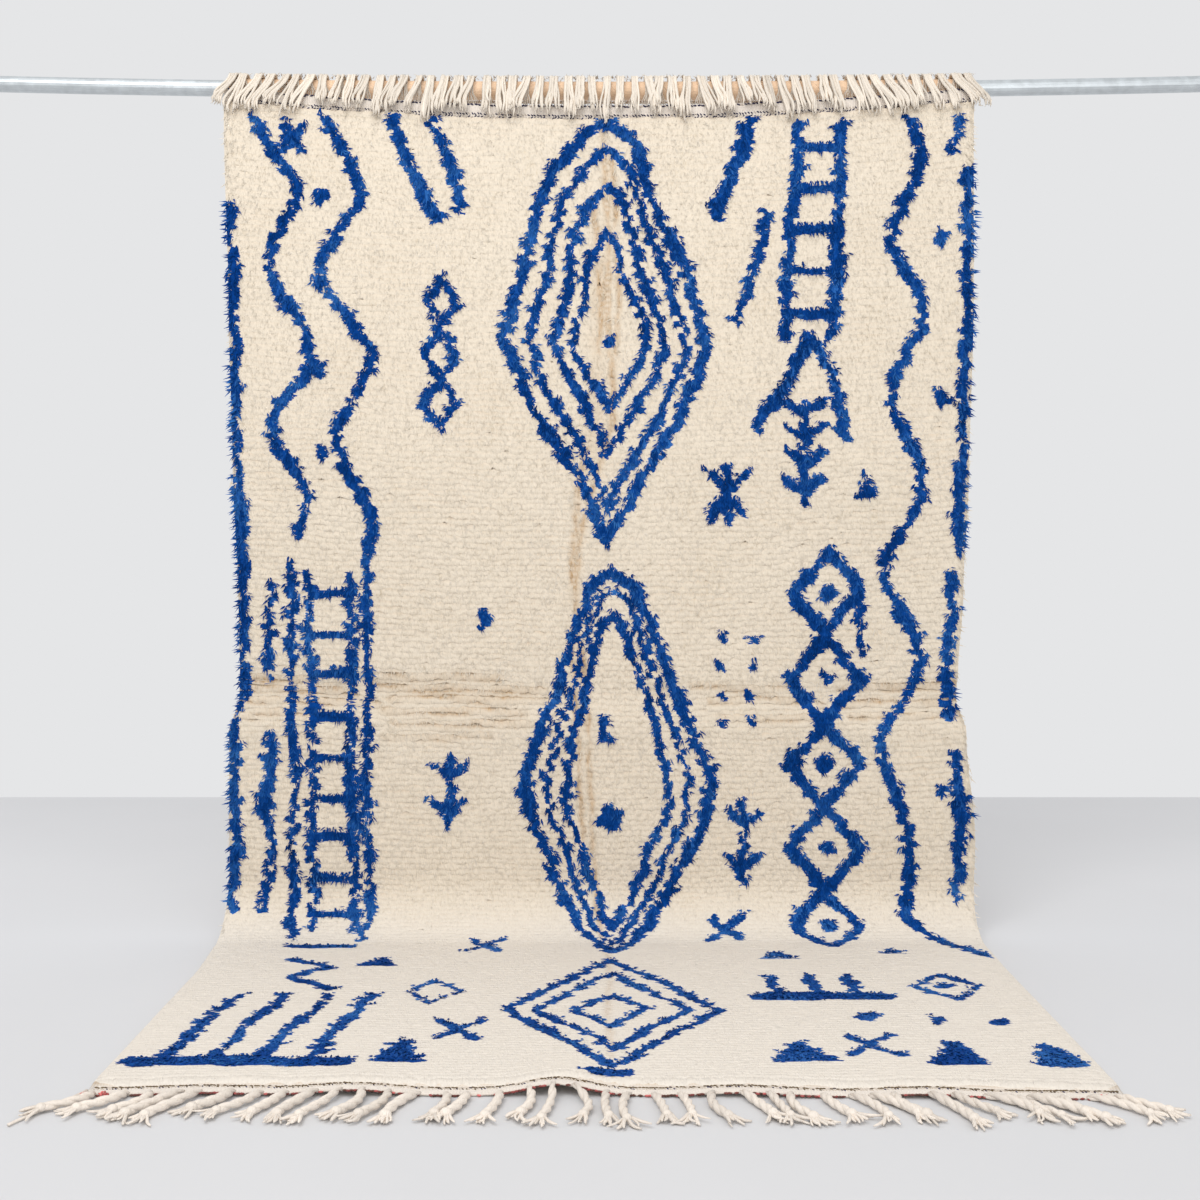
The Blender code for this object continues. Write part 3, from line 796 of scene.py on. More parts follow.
class Finish:
    """A material in the making: its nodes are added by one method."""

    def __init__(self, name, roughness, metallic=0.0, sheen=0.0, gloss=0.5):
        self.material = bpy.data.materials.new(name)
        self.material.use_nodes = True
        self.tree = self.material.node_tree
        self.shader = self.tree.nodes["Principled BSDF"]
        self.set("Roughness", roughness)
        self.set("Metallic", metallic)
        self.set("Sheen Weight", sheen)
        self.set("Specular IOR Level", gloss)

    def join(self, value, socket):
        """Links a socket to what gives its value, or sets it."""
        if isinstance(value, Number):
            value = value.socket
        if isinstance(value, bpy.types.NodeSocket):
            self.tree.links.new(value, socket)
        elif socket.type == "RGBA":
            socket.default_value = (*value, 1.0)
        else:
            socket.default_value = value

    def node(self, kind, settings, sockets):
        """Adds a node, sets it up, and then fills its sockets."""
        made = self.tree.nodes.new(kind)
        for setting, value in settings.items():
            if setting == "stops":
                self.colour_stops(made.color_ramp, value)
            else:
                setattr(made, setting, value)
        for name, value in sockets.items():
            self.join(value, made.inputs[name])
        return made

    def colour_stops(self, ramp, stops):
        """Sets a ramp's stops from (place, colour) pairs."""
        while len(ramp.elements) < len(stops):
            ramp.elements.new(1.0)
        for element, (place, colour) in zip(ramp.elements, stops):
            element.position = place
            element.color = (*colour, 1.0)

    def maths(self, operation, *values):
        """The result of a Math node."""
        node = self.node("ShaderNodeMath", {"operation": operation}, dict(enumerate(values)))
        return Number(self, node.outputs[0])

    def ribs(self, place, pitch):
        """Ridges from 0 to 1 at an even pitch."""
        return self.maths("SINE", place * (2 * math.pi / pitch)) * 0.5 + 0.5

    def noise(self, vector, scale, detail=2.0):
        """A noise from 0 to 1."""
        sockets = {"Vector": vector, "Scale": scale, "Detail": detail}
        return Number(self, self.node("ShaderNodeTexNoise", {}, sockets).outputs["Fac"])

    def ramp(self, place, stops):
        """The colour of a ramp at a place from 0 to 1."""
        return self.node("ShaderNodeValToRGB", {"stops": stops}, {"Fac": place}).outputs["Color"]

    def mixed(self, share, first, second, blend="MIX"):
        """A mix of two colours."""
        settings = {"data_type": "RGBA", "blend_type": blend}
        node = self.node("ShaderNodeMix", settings, {0: share, 6: first, 7: second})
        return node.outputs[2]

    def bump(self, height, distance):
        """Feeds a bump to the shader's normal."""
        sockets = {"Height": height, "Distance": distance}
        self.set("Normal", self.node("ShaderNodeBump", {}, sockets).outputs[0])

    def set(self, name, value):
        """Sets or links a socket of the shader."""
        self.join(value, self.shader.inputs[name])

    def places(self):
        """Object coordinates."""
        return self.node("ShaderNodeTexCoord", {}, {}).outputs["Object"]

    def stretched(self, scale):
        """Object coordinates, scaled along each axis."""
        sockets = {"Vector": self.places(), "Scale": scale}
        return self.node("ShaderNodeMapping", {}, sockets).outputs[0]

    def parted(self, vector):
        """The three numbers of a vector."""
        return [Number(self, part) for part in self.node("ShaderNodeSeparateXYZ", {}, {0: vector}).outputs]

    def own(self, name):
        """A number that a piece carries at its points."""
        node = self.node("ShaderNodeAttribute", {"attribute_name": name}, {})
        return Number(self, node.outputs["Fac"])

    def vector(self, x, y):
        """A vector from two numbers."""
        return self.node("ShaderNodeCombineXYZ", {}, {0: x, 1: y}).outputs[0]

    def split_map(self, name):
        """The two numbers of a piece's own map, across and up."""
        return self.parted(self.node("ShaderNodeUVMap", {"uv_map": name}, {}).outputs[0])[:2]


WHITE = (1.0, 1.0, 1.0)
WEAVE_MAP = "weave"  # the ground's map, metres across and along the cloth
WARP_PITCH = 0.0048
WEFT_PITCH = 0.0026
BACK_PITCH = 0.012  # of the rows of knots, seen from behind
DYE_SPIKES = 0.013  # how far the blue runs up and down in spikes
DYE_SHARP = 900.0  # how quickly ivory turns blue, for each metre
SEAM_PITCH = 0.11  # of the card tube's spiral
SEAM_SHARE = 0.03


def shaded(colour, factor):
    """A colour made darker or lighter."""
    return tuple(min(1.0, channel * factor) for channel in colour)


def wool_finish(name, stops, root_shade, fuzz=0.0004):
    """Yarn or loose wool: coloured by each strand's tone, with painted shade that makes it darker towards its
    root.
    """
    finish = Finish(name, roughness=0.9, sheen=0.02, gloss=0.05)
    tone, part = finish.split_map(STRAND_MAP)
    # painted shade: each strand darker towards its root
    shade = finish.ramp(part, [(0.0, (root_shade,) * 3), (0.55, WHITE), (1.0, WHITE)])
    fibres = finish.noise(finish.stretched((900.0, 140.0, 140.0)), 1.0)
    finish.set("Base Color", finish.mixed(1.0, finish.ramp(tone, stops), shade, "MULTIPLY"))
    finish.set("Roughness", 0.82 + 0.16 * fibres)
    finish.bump(fibres, fuzz)
    return finish.material


ROW_NUMBERS = ("chart", "crease", "across", "along", "laid")  # what each row's points carry


def rows_finish(colours):
    """The body of the pile, ivory and blue by the chart, with fine fibres down the cloth."""
    finish = Finish("pile rows", roughness=0.92, sheen=0.02, gloss=0.05)
    chart, crease, across, along, laid = (finish.own(name) for name in ROW_NUMBERS)
    fibres = finish.noise(finish.vector(across * 640.0, along * 90.0), 1.0)
    spikes = finish.noise(finish.vector(across * 70.0, along * 330.0), 1.0)
    clumps = finish.noise(finish.vector(across * 150.0, along * 48.0), 1.0)
    slow = finish.noise(finish.vector(across, along), 7.0, 3.0)
    # painted shade: where the noise is low the ivory darkens to deep ivory, as down between the locks
    ivory = finish.ramp(fibres * 0.45 + clumps * 0.3 + slow * 0.25, [
        (0.28, shaded(colours.ivory_deep, 0.94)),
        (0.46, shaded(colours.ivory, 0.97)),
        (0.70, shaded(colours.ivory, 1.03)),
    ])
    # painted light: where the cloth lies on the floor the pile turns pale, as if lit from above
    ivory = finish.mixed(laid * 0.8, ivory, shaded(colours.ivory_floor_lit, 0.97))
    # painted shade: tan in creases and between rows
    ivory = finish.mixed(crease * (fibres * 1.2 + clumps * 1.9 - 0.6), ivory, colours.tan)
    blue = finish.ramp(fibres * 0.35 + slow * 0.65, [
        (0.30, shaded(colours.blue, 0.6)),
        (0.50, colours.blue),
        (0.68, colours.blue_light),
    ])
    dyed = (chart + (spikes - 0.5) * DYE_SPIKES) * -DYE_SHARP + 0.5
    finish.set("Base Color", finish.mixed(dyed, ivory, blue))
    finish.set("Roughness", 0.84 + 0.14 * fibres)
    finish.bump(fibres * 0.9 + clumps * 0.8, 0.0024)
    return finish.material


def ivory_finish(colours):
    """Undyed pile by tone: tan and deep ivory as painted shade in the creases, then ivory, up to pale ivory
    as painted light where the cloth lies on the floor.
    """
    stops = [(0.0, colours.tan), (0.30, colours.ivory_deep), (0.58, colours.ivory)]
    return wool_finish("ivory pile", [*stops, (1.0, colours.ivory_floor_lit)], 0.84)


def blue_finish(colours):
    """Blue pile, unevenly dyed, and a little lighter on the floor as painted light."""
    stops = [(0.0, shaded(colours.blue, 0.45)), (0.50, colours.blue), (1.0, colours.blue_light)]
    return wool_finish("blue pile", stops, 0.55)


def blue_back_finish(colours):
    """Blue knots' loops on the back."""
    return wool_finish("blue knot backs", [(0.0, shaded(colours.blue, 0.6)), (1.0, colours.blue_light)], 1.0)


def cord_finish(name, own):
    """Undyed yarn of a colour of its own."""
    stops = [(0.0, shaded(own, 0.80)), (0.6, own), (1.0, shaded(own, 1.12))]
    return wool_finish(name, stops, 0.85, 0.0016)


def twine_finish(colours):
    """Twined stitches, from the cool dark rows above to the brown row in front."""
    brown = colours.twine_brown
    stops = [(0.0, colours.twine), (0.45, shaded(colours.twine, 1.8)), (0.55, brown)]
    stops += [(0.80, shaded(brown, 1.5)), (1.0, shaded(colours.cord, 0.95))]
    return wool_finish("twined yarn", stops, 0.9)


def pink_finish(colours):
    """End yarn in dull reds and pinks, with dark brown as painted shadow under the front edge."""
    pink = colours.pink
    stops = [(0.0, colours.shadow_brown), (0.35, shaded(pink, 0.5)), (0.6, pink), (1.0, shaded(pink, 1.5))]
    return wool_finish("pink yarn", stops, 0.9)


def ground_finish(colours):
    """Plain weave of the flat ends, and the rows of knots' backs between them."""
    finish = Finish("ground weave", roughness=0.92, sheen=0.15)
    across, along = finish.split_map(WEAVE_MAP)
    field = finish.own("field")
    warps, wefts = finish.ribs(across, WARP_PITCH), finish.ribs(along, WEFT_PITCH)
    backs = finish.ribs(along, BACK_PITCH)
    weave = warps * wefts * (1.0 - field) + (backs * 0.7 + warps * 0.3) * field
    blotches = finish.noise(finish.places(), 38.0, 4.0)
    kilim = shaded(colours.kilim, 0.78), shaded(colours.kilim, 1.12)
    under = shaded(colours.tan, 0.90), shaded(colours.ivory, 0.92)
    finish.set("Base Color", finish.mixed(
        field,
        finish.mixed(weave * 0.6 + blotches * 0.4, *kilim),
        finish.mixed(weave * 0.5 + blotches * 0.5, *under),
    ))
    finish.set("Roughness", 0.84 + 0.14 * blotches)
    finish.bump(weave + 0.3 * blotches, 0.0009)
    return finish.material


def steel_finish(colours):
    """Galvanised tube: soft spangles and faint lengthwise wear."""
    finish = Finish("galvanised steel", roughness=0.4, metallic=0.9)
    spangle = finish.noise(finish.places(), 60.0, 3.0)
    wear = finish.noise(finish.stretched((6.0, 260.0, 260.0)), 1.0, 4.0)
    mottle = 0.65 * spangle + 0.35 * wear
    stops = [(0.30, shaded(colours.steel, 0.82)), (0.70, shaded(colours.steel, 1.08))]
    finish.set("Base Color", finish.ramp(mottle, stops))
    finish.set("Roughness", 0.30 + 0.25 * mottle)
    finish.bump(wear, 0.0001)
    return finish.material


def card_finish(colours):
    """Smooth card tube with a spiral seam and faint fibres."""
    finish = Finish("card tube", roughness=0.55)
    fibres = finish.noise(finish.places(), 420.0, 4.0)
    x, y, z = finish.parted(finish.places())
    turn = finish.maths("ARCTAN2", y - ROD_Y, z - ROD_Z) * (0.5 / math.pi)
    step = finish.maths("FRACT", x * (1.0 / SEAM_PITCH) + turn)
    seam = finish.ramp(step, [(0.0, (0.0,) * 3), (SEAM_SHARE, WHITE), (1.0, WHITE)])
    paper = finish.ramp(fibres, [(0.3, shaded(colours.card, 0.86)), (0.7, shaded(colours.card, 1.08))])
    finish.set("Base Color", finish.mixed(1.0, paper, finish.mixed(0.25, WHITE, seam), "MULTIPLY"))
    finish.set("Roughness", 0.48 + 0.18 * fibres)
    finish.bump(fibres, 0.0002)
    return finish.material


def floor_finish(stage):
    """Pale matt studio floor, with painted light and shade: lighter towards its far edge, darker towards the
    camera.
    """
    finish = Finish("studio floor", roughness=0.75)
    cloudy = finish.noise(finish.places(), 1.4, 3.0)
    stops = [(0.3, shaded(stage.floor, 0.985)), (0.7, shaded(stage.floor, 1.01))]
    _, y, _ = finish.parted(finish.places())
    # painted light and shade: lighter behind the rod, darker from in front of the rug towards the camera
    painted_light_gradient = finish.mixed(y * -0.5 + 0.5, (1.08, 1.08, 1.085), (0.93, 0.93, 0.93))
    finish.set("Base Color", finish.mixed(1.0, finish.ramp(cloudy, stops), painted_light_gradient, "MULTIPLY"))
    return finish.material


# ---------------------------------------------------------------- settings


def length(name, description, default):
    """A length that a user may change."""
    return FloatProperty(name=name, description=description, default=default, min=0.0, unit="LENGTH")


def number(name, description, default, least=0):
    """A whole number that a user may change."""
    return IntProperty(name=name, description=description, default=default, min=least)


def colour(name, description, default):
    """A colour that a user may change."""
    return FloatVectorProperty(
        name=name, description=description, default=default, min=0.0, max=1.0, size=3, subtype="COLOR"
    )


class RugPile(bpy.types.PropertyGroup):
    """Sizes of the pile."""

    knot_pitch: length("Knot pitch", "Width of cloth that one knot takes", 0.011)
    row_pitch: length("Row pitch", "Length of cloth that one row of knots takes", 0.012)
    lock_long: length("Lock length", "Length of a lock of pile", 0.0165)
    lock_wide: length("Lock width", "Half the width of a lock at its root", 0.0031)
    hair_wide: length("Hair width", "Half the width of a loose hair at its root", 0.0015)
    ivory_hairs: number("Ivory hairs", "Hairs in an ivory knot", 3)
    blue_locks: number("Blue locks", "Locks in a blue knot", 1, least=1)
    blue_hairs: number("Blue hairs", "Hairs in a blue knot", 5)
    seed: number("Seed", "Start of the random draws", 11)


class RugFringe(bpy.types.PropertyGroup):
    """Sizes and counts of the tassels."""

    top_count: number("Top tassels", "Tassels over the rod", 56, least=1)
    top_fall: length("Top fall", "How far the top tassels end below the rod's axis", 0.052)
    top_lean: length("Top lean", "How far the outermost top tassels swing outwards", 0.030)
    front_count: number("Front cords", "Cords on the floor", 39, least=1)
    front_long: length("Front length", "Length of a front cord", 0.122)
    front_lean: length("Front lean", "How far the outermost front cords swing outwards", 0.082)
    front_thick: length("Front thickness", "Half the thickness of a front cord", 0.0069)


class RugColours(bpy.types.PropertyGroup):
    """Colours of the rug, its rod and its tube."""

    ivory: colour("Ivory", "Undyed pile", (0.81, 0.715, 0.585))
    # Deep ivory is painted shade: the darker, warmer pile down between the locks.
    ivory_deep: colour("Deep ivory", "Undyed pile, down between the locks", (0.72, 0.60, 0.44))
    # Pale ivory is painted light: the pile on the floor is made paler, as if lit from above.
    ivory_floor_lit: colour("Pale ivory", "Undyed pile on the floor", (0.857, 0.795, 0.715))
    # Tan is painted shade: creases and the gaps between rows of pile are painted with it.
    tan: colour("Tan", "Pile deep in a crease", (0.54, 0.36, 0.20))
    blue: colour("Blue", "Blue pile", (0.002, 0.056, 0.285))
    blue_light: colour("Light blue", "Blue pile where the dye took less", (0.042, 0.185, 0.52))
    kilim: colour("Flat weave", "Flat-woven ends", (0.93, 0.825, 0.73))
    cord: colour("Cord", "Undyed cords on the floor", (0.82, 0.74, 0.655))
    warp: colour("Warp", "Warp ends and the tassels over the rod", (0.79, 0.71, 0.61))
    twine: colour("Twine", "Dark twined rows above", (0.030, 0.028, 0.060))
    twine_brown: colour("Brown twine", "Twined row in front", (0.14, 0.10, 0.055))
    pink: colour("Pink", "End yarn", (0.60, 0.17, 0.16))
    # Shadow brown is painted shadow: the darkest end yarn stands for the shade under the front edge.
    shadow_brown: colour("Brown", "Darkest end yarn", (0.11, 0.065, 0.05))
    steel: colour("Steel", "Galvanised rod", (0.66, 0.70, 0.72))
    card: colour("Card", "Card tube", (0.84, 0.59, 0.39))


class RugStage(bpy.types.PropertyGroup):
    """Floor, light and camera."""

    floor: colour("Floor", "Studio floor", (0.66, 0.66, 0.668))
    air: colour("Air", "Pale surroundings", (0.785, 0.79, 0.80))
    lens: FloatProperty(name="Lens", description="Focal length", default=44.64, unit="CAMERA")
    distance: length("Distance", "Camera to the rod", 3.23)
    height: length("Height", "Camera above the floor", 0.834)
    pitch: FloatProperty(
        name="Pitch", description="Camera's tilt down", default=math.radians(1.9245), subtype="ANGLE"
    )


# ---------------------------------------------------------------- the rug's pieces

TONE_SEED, SHIFT_SEED, ROWS_SEED = 1, 3, 7  # added to the pile's own seed
SEEDS = {"twining": 23, "roots": 31, "warps": 37, "tassels": 41, "cords": 53, "end yarn": 61}


def draws_for(piece):
    """The random draws of one piece, the same each run."""
    return np.random.default_rng(SEEDS[piece])


GROUND_COLUMNS = 48
GROUND_ROWS = 150
GROUND_ENDS_FINER = 0.5  # how much closer the ground's rows stand at both ends


def ground_height(x, along):
    """Thickness of the bare weave, thin at the flat ends, and how far it is knotted ground."""
    rise = ease((along - kilim_top(x) - KILIM_DEPTH) / PILE_EASE)
    fall = ease((woven_end(x) - KILIM_DEPTH - along) / PILE_EASE)
    field = np.minimum(rise, fall)
    return KILIM_THICK + (GROUND_THICK - KILIM_THICK) * field, field


def crowded(share, amount):
    """Shares with their middle spread out by a positive amount, or their ends by a negative one."""
    return share - amount * np.sin(2 * math.pi * share) / (2 * math.pi)


def make_ground(colours):
    """The woven sheet, from the upper edge of the upper flat end to the front edge."""
    bm = bmesh.new()
    bmesh.ops.create_grid(bm, x_segments=GROUND_COLUMNS, y_segments=GROUND_ROWS, size=0.5)
    under = set(bm.verts)
    bmesh.ops.extrude_face_region(bm, geom=bm.faces[:], use_keep_orig=True)
    share = np.array([round((vert.co.x + 0.5) * GROUND_COLUMNS) for vert in bm.verts]) / GROUND_COLUMNS
    row = np.array([round((vert.co.y + 0.5) * GROUND_ROWS) for vert in bm.verts])
    upper = np.array([vert not in under for vert in bm.verts])
    middle = across_rug(share)
    top = kilim_top(middle)
    along = top + (woven_end(middle) - top) * crowded(row / GROUND_ROWS, GROUND_ENDS_FINER)
    x = share_across(share, along)
    high, field = ground_height(middle, along)
    for vert, point in zip(bm.verts, cloth_point(x, along, np.where(upper, high, 0.0))):
        vert.co = point
    bmesh.ops.recalc_face_normals(bm, faces=bm.faces)
    if bm.calc_volume(signed=True) < 0.0:
        bmesh.ops.reverse_faces(bm, faces=bm.faces)
    bm.verts.index_update()
    mesh = bpy.data.meshes.new("ground")
    bm.to_mesh(mesh)
    bm.free()
    corners = np.empty(len(mesh.loops), np.int32)
    mesh.loops.foreach_get("vertex_index", corners)
    weave = np.stack([x, along], -1)[corners].astype(np.float32)
    mesh.uv_layers.new(name=WEAVE_MAP).data.foreach_set("uv", weave.ravel())
    carry(mesh, "field", field)
    mesh.shade_smooth()
    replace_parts(finished("ground", mesh, ground_finish(colours)), "rug")


def carry(mesh, name, values):
    """Gives a mesh's points a number each, for its finish to read."""
    attribute = mesh.attributes.new(name, "FLOAT", "POINT")
    attribute.data.foreach_set("value", values.ravel().astype(np.float32))


# Corners of one row of pile, in turn: outermost, tips, root and shoulder. Where a crease parts
# two rows, a corner draws back and sinks.
Corner = namedtuple("Corner", "drop height ragged back sink")
ROW_CORNERS = [
    Corner(0.0070, 0.0134, 0.0010, 0.0020, 0.15),
    Corner(0.0142, 0.0124, 0.0022, 0.0060, 0.40),
    Corner(-0.0010, 0.0045, 0.0, 0.0, 0.0),
    Corner(-0.0030, 0.0116, 0.0008, -0.0020, 0.45),
]
TIPS, ROOT = 1, 2  # the places of two of them in that list
ROW_LEVEL = 0.0125  # about which the corners' heights stand
ROW_WAVE = 0.0035  # how far a row strays up and down the cloth
TIP_TUCK = 0.0020  # how much lower the tips end where the rows hardly show
RIDGES_FROM, RIDGES_EASE = 0.45, 0.5  # along the cloth, the rows begin to show as ridges
ROW_COLUMNS = 160
MIDDLE_FINER = 0.40  # how much closer the columns stand at mid-width, where the fold is
EDGE_ROUND = 0.012
EDGE_SINK = 0.35
CREASE_SINK = 0.55  # how far the pile sinks in a crease down the cloth
END_LOW = 0.38  # height of the pile at the front edge, as a share of its full height
END_FROM, END_EASE = 0.024, 0.030  # where it rises from there
CHART_STRAY = 0.0052  # how far a row's colours may stand aside from the chart
CREASE_SHOWS = np.array([0.30, 1.0, 1.0, 1.0])  # share of a crease's painted shade, in tan, on each corner
ROOT_SHOWS = np.array([0.0, 0.03, 0.50, 0.30])  # the same of the painted shade, in tan, at the roots between two rows
ROW_SOFT = 0.65  # how far the shading of rows and blue locks follows the cloth's
HAIR_SOFT = 0.82  # the same of the ivory hairs
ROW_MAP_WIDE = 1.66  # width of cloth over a row's own map


def field_place(share, down):
    """X and along of a share of the pile's width and a share of its length."""
    middle = across_rug(share)
    start = kilim_top(middle) + PILE_START
    along = start + (woven_end(middle) - PILE_STOP - start) * down
    return share_across(share, along), along


def row_count(pile):
    """How many rows of knots the pile has."""
    return round((WOVEN_END - kilim_top(0.0) - PILE_START - PILE_STOP) / pile.row_pitch)


def row_shift(pile, x):
    """How far each row's colours stand aside from the chart, an array of rows by places."""
    draw = np.random.default_rng(pile.seed + SHIFT_SEED)
    first, second = draw.uniform(0.0, 2 * math.pi, (2, row_count(pile), 1))
    return CHART_STRAY * (np.sin(x * 19.0 + first) + 0.7 * np.sin(x * 67.0 + second))


def curled_rows(x, row_along, corner, border, ragged, puffed):
    """Where along the cloth each corner of a row lies, its height, and how far it is painted tan, as shade in
    creases and between rows.
    """
    drop, level, stray, back, sink = np.array(ROW_CORNERS)[corner].T
    depth, part_x, part_along = crease_at(x, row_along + drop)
    across_rows, between_rows = depth * np.abs(part_x), depth * np.abs(part_along)
    along = row_along + drop + stray * ragged - back * between_rows
    laid = laid_at(row_along)
    ridged = ease((row_along - RIDGES_FROM) / RIDGES_EASE) * (1.0 - laid)
    puff = 1.0 + (0.016 + 0.012 * ridged) * puffed
    puff = puff + 0.05 * waver(x, along, 8.0, 3.0)
    relief = np.where(corner == ROOT, 1.0, 0.2 + 0.6 * ridged)
    height = ROW_LEVEL + (level - ROW_LEVEL) * relief - TIP_TUCK * (corner == TIPS) * (1.0 - ridged)
    sunk = CREASE_SINK * across_rows + sink * between_rows
    height = height * puff * (1.0 - sunk) * (1.0 - EDGE_SINK * hump(border, EDGE_ROUND))
    height = height * (END_LOW + (1.0 - END_LOW) * ease((woven_end(x) - along - END_FROM) / END_EASE))
    # painted shade: tan in creases, and at the roots and shoulders between rows
    shows = CREASE_SHOWS[corner] + (1.0 - CREASE_SHOWS[corner]) * 0.9 * np.abs(part_x)
    patchy = 0.8 + 0.5 * waver(x, along, 2.0, 5.0)
    roots = ROOT_SHOWS[corner] * (0.45 + 0.55 * ridged) * (1.0 - laid) * patchy
    return along, height, np.maximum(depth * shows, roots)


def make_pile_rows(pile, colours):
    """The body of the pile: each row of knots as one curled, ragged strip over the next."""
    draw = np.random.default_rng(pile.seed + ROWS_SEED)
    shape = tube_shape(4, ROW_COLUMNS)
    ring = np.rint(shape.points[:, 2] * ROW_COLUMNS).astype(int)
    corner = np.rint(np.arctan2(shape.points[:, 1], shape.points[:, 0]) * 2 / math.pi).astype(int) % 4
    rows = row_count(pile)
    size = (rows, ROW_COLUMNS + 1)
    inside = (ring > 0) & (ring < ROW_COLUMNS)
    share = (ring + draw.uniform(-0.3, 0.3, size)[:, ring] * inside) / ROW_COLUMNS
    share = crowded(share, -MIDDLE_FINER)
    down = (np.arange(rows)[:, None] + 0.5 + draw.uniform(-0.10, 0.10, size)[:, ring]) / rows
    ragged = draw.normal(0.0, 1.0, (*size, 4))[:, ring, corner]
    puffed = draw.normal(0.0, 1.0, size)[:, ring]
    x, row_along = field_place(share, down)
    row_along = row_along + ROW_WAVE * waver(x, row_along, 2.4, 7.0)
    border = np.minimum(share, 1.0 - share) * 2 * HALF_WIDTH
    along, height, tan = curled_rows(x, row_along, corner, border, ragged, puffed)
    back, out, _ = cloth_frame(x, along)
    points = back + out * height[..., None]
    chart = chart_gap(x + row_shift(pile, x), along)
    # the crease attribute carries that painted shade
    carried = dict(zip(ROW_NUMBERS, (chart, tan, x, along, laid_at(row_along))))
    finish = rows_finish(colours)
    for number, band in enumerate(np.array_split(np.arange(rows), 2)):
        low, high = along[band].min(), along[band].max()
        up = MAP_LOW + MAP_SPAN * (along[band] - low) / (high - low)
        batch = copies(shape, points[band], x[band] / ROW_MAP_WIDE + 0.5, up, out[band])
        piece = joined_piece(f"pile_rows_{number + 1}", [batch], finish, ROW_SOFT)
        for name, values in carried.items():
            carry(piece.data, name, values[band])


Knots = namedtuple("Knots", "x along blue edge")
KNOT_HANG = 0.0065  # a knot's wool shows this far below its row
EDGE_SPREAD = 1.6  # how strongly the outermost knots lean over the rug's side edges


def knot_grid(pile):
    """Every knot's place and colour, and which way the nearest change of colour lies."""
    draw = np.random.default_rng(pile.seed)
    columns = round(2 * HALF_WIDTH / pile.knot_pitch)
    rows = row_count(pile)
    share = (np.arange(columns)[None, :] + 0.5) / columns
    share = share + draw.uniform(-0.32, 0.32, (rows, columns)) / columns
    down = (np.arange(rows)[:, None] + 0.5 + draw.uniform(-0.12, 0.12, (rows, columns))) / rows
    x, along = field_place(share, down)
    blue = chart_gap(x + row_shift(pile, x), along + KNOT_HANG) < 0.0
    edge = np.zeros(x.shape)
    change = blue[:, 1:] != blue[:, :-1]
    edge[:, :-1] += change
    edge[:, 1:] -= change
    edge[:, 0] = -EDGE_SPREAD
    edge[:, -1] = EDGE_SPREAD
    return Knots(x.ravel(), along.ravel(), blue.ravel(), edge.ravel())


def knot_tones(knots, draw):
    """A tone for each knot: slow blotches, a little from row to row, darker in creases as painted shade, and
    lighter on the floor as painted light.
    """
    x, along = knots.x, knots.along
    depth, _, _ = crease_at(x, along)
    laid = laid_at(along)
    slow = 0.07 * waver(x, along, 1.0, 3.0) + 0.05 * waver(x, along, 5.0, 8.0)
    rows = 0.05 * np.sin(along * 523.0) * np.sin(along * 61.0 + x * 7.0)
    # painted shade and light: ivory tones drop in creases and rise where the cloth lies on the floor
    ivory = 0.60 + slow + rows + 0.32 * laid + draw.normal(0.0, 0.07, len(x)) - 0.62 * depth
    abrash = 0.24 * waver(x, along, 1.6, 6.0) + 0.10 * waver(x, along, 7.0, 5.0)
    # painted light: blue tones rise a little where the cloth lies on the floor
    blue = 0.43 + abrash + 0.12 * np.abs(knots.edge) + 0.10 * laid + draw.normal(0.0, 0.11, len(x))
    return np.clip(np.where(knots.blue, blue, ivory), 0.0, 1.0)


Tuft = namedtuple("Tuft", "shape count wide long stray over root sparse")
TUFT_STAY = 0.30  # how much the locks shorten on the floor
CREASE_SHORT = 0.38  # how much they shorten in a crease
EDGE_SHORT = 0.22  # how much they shorten where the colours meet
MOST_SWAY = 1.45  # radians that a lock may lean aside
IVORY_BANDS = 3


def tufts(pile, knots, tones, chosen, tuft, draw):
    """Locks or hairs of the chosen knots, curled over down the cloth."""
    picked = np.repeat(np.flatnonzero(chosen), tuft.count)
    kept = draw.uniform(0.0, 1.0, len(picked)) > laid_at(knots.along[picked]) * tuft.sparse
    picked = picked[kept]
    x, along, edge = knots.x[picked], knots.along[picked], knots.edge[picked]
    count = len(picked)
    depth, part_x, part_along = crease_at(x, along)
    laid = laid_at(along)
    x = x + draw.uniform(-0.45, 0.45, count) * pile.knot_pitch
    along = along + draw.uniform(-0.45, 0.45, count) * pile.row_pitch
    back, out, down = cloth_frame(x, along)
    roots = back + out * (tuft.root * (1.0 - 0.5 * depth))[:, None]
    sway = draw.normal(0.0, tuft.stray, count) + 0.30 * waver(x, along, 3.0, 9.0)
    spread = np.abs(draw.normal(0.8, 0.45, count))
    sway = np.clip(sway + tuft.over * edge * spread + 1.1 * depth * part_x, -MOST_SWAY, MOST_SWAY)
    lean = down * np.cos(sway)[:, None] + SIDEWAYS * np.sin(sway)[:, None]
    border = EDGE_SHORT * np.minimum(np.abs(edge), 1.0) * (np.abs(edge) < EDGE_SPREAD)
    long = pile.lock_long * tuft.long * (1.0 - CREASE_SHORT * depth - TUFT_STAY * laid - border)
    long = long * draw.uniform(0.75, 1.2, count)
    rise = 0.78 + draw.uniform(-0.20, 0.18, count) + 0.25 * laid
    droop = 1.50 + draw.uniform(-0.22, 0.18, count) - 0.6 * np.clip(-depth * part_along, 0.0, 1.0)
    wide = tuft.wide * draw.uniform(0.7, 1.25, count)
    tone = np.clip(tones[picked] + draw.normal(0.0, 0.05, count), 0.0, 1.0)
    return bent_locks(tuft.shape, roots, out, lean, long, wide, rise, droop, tone)


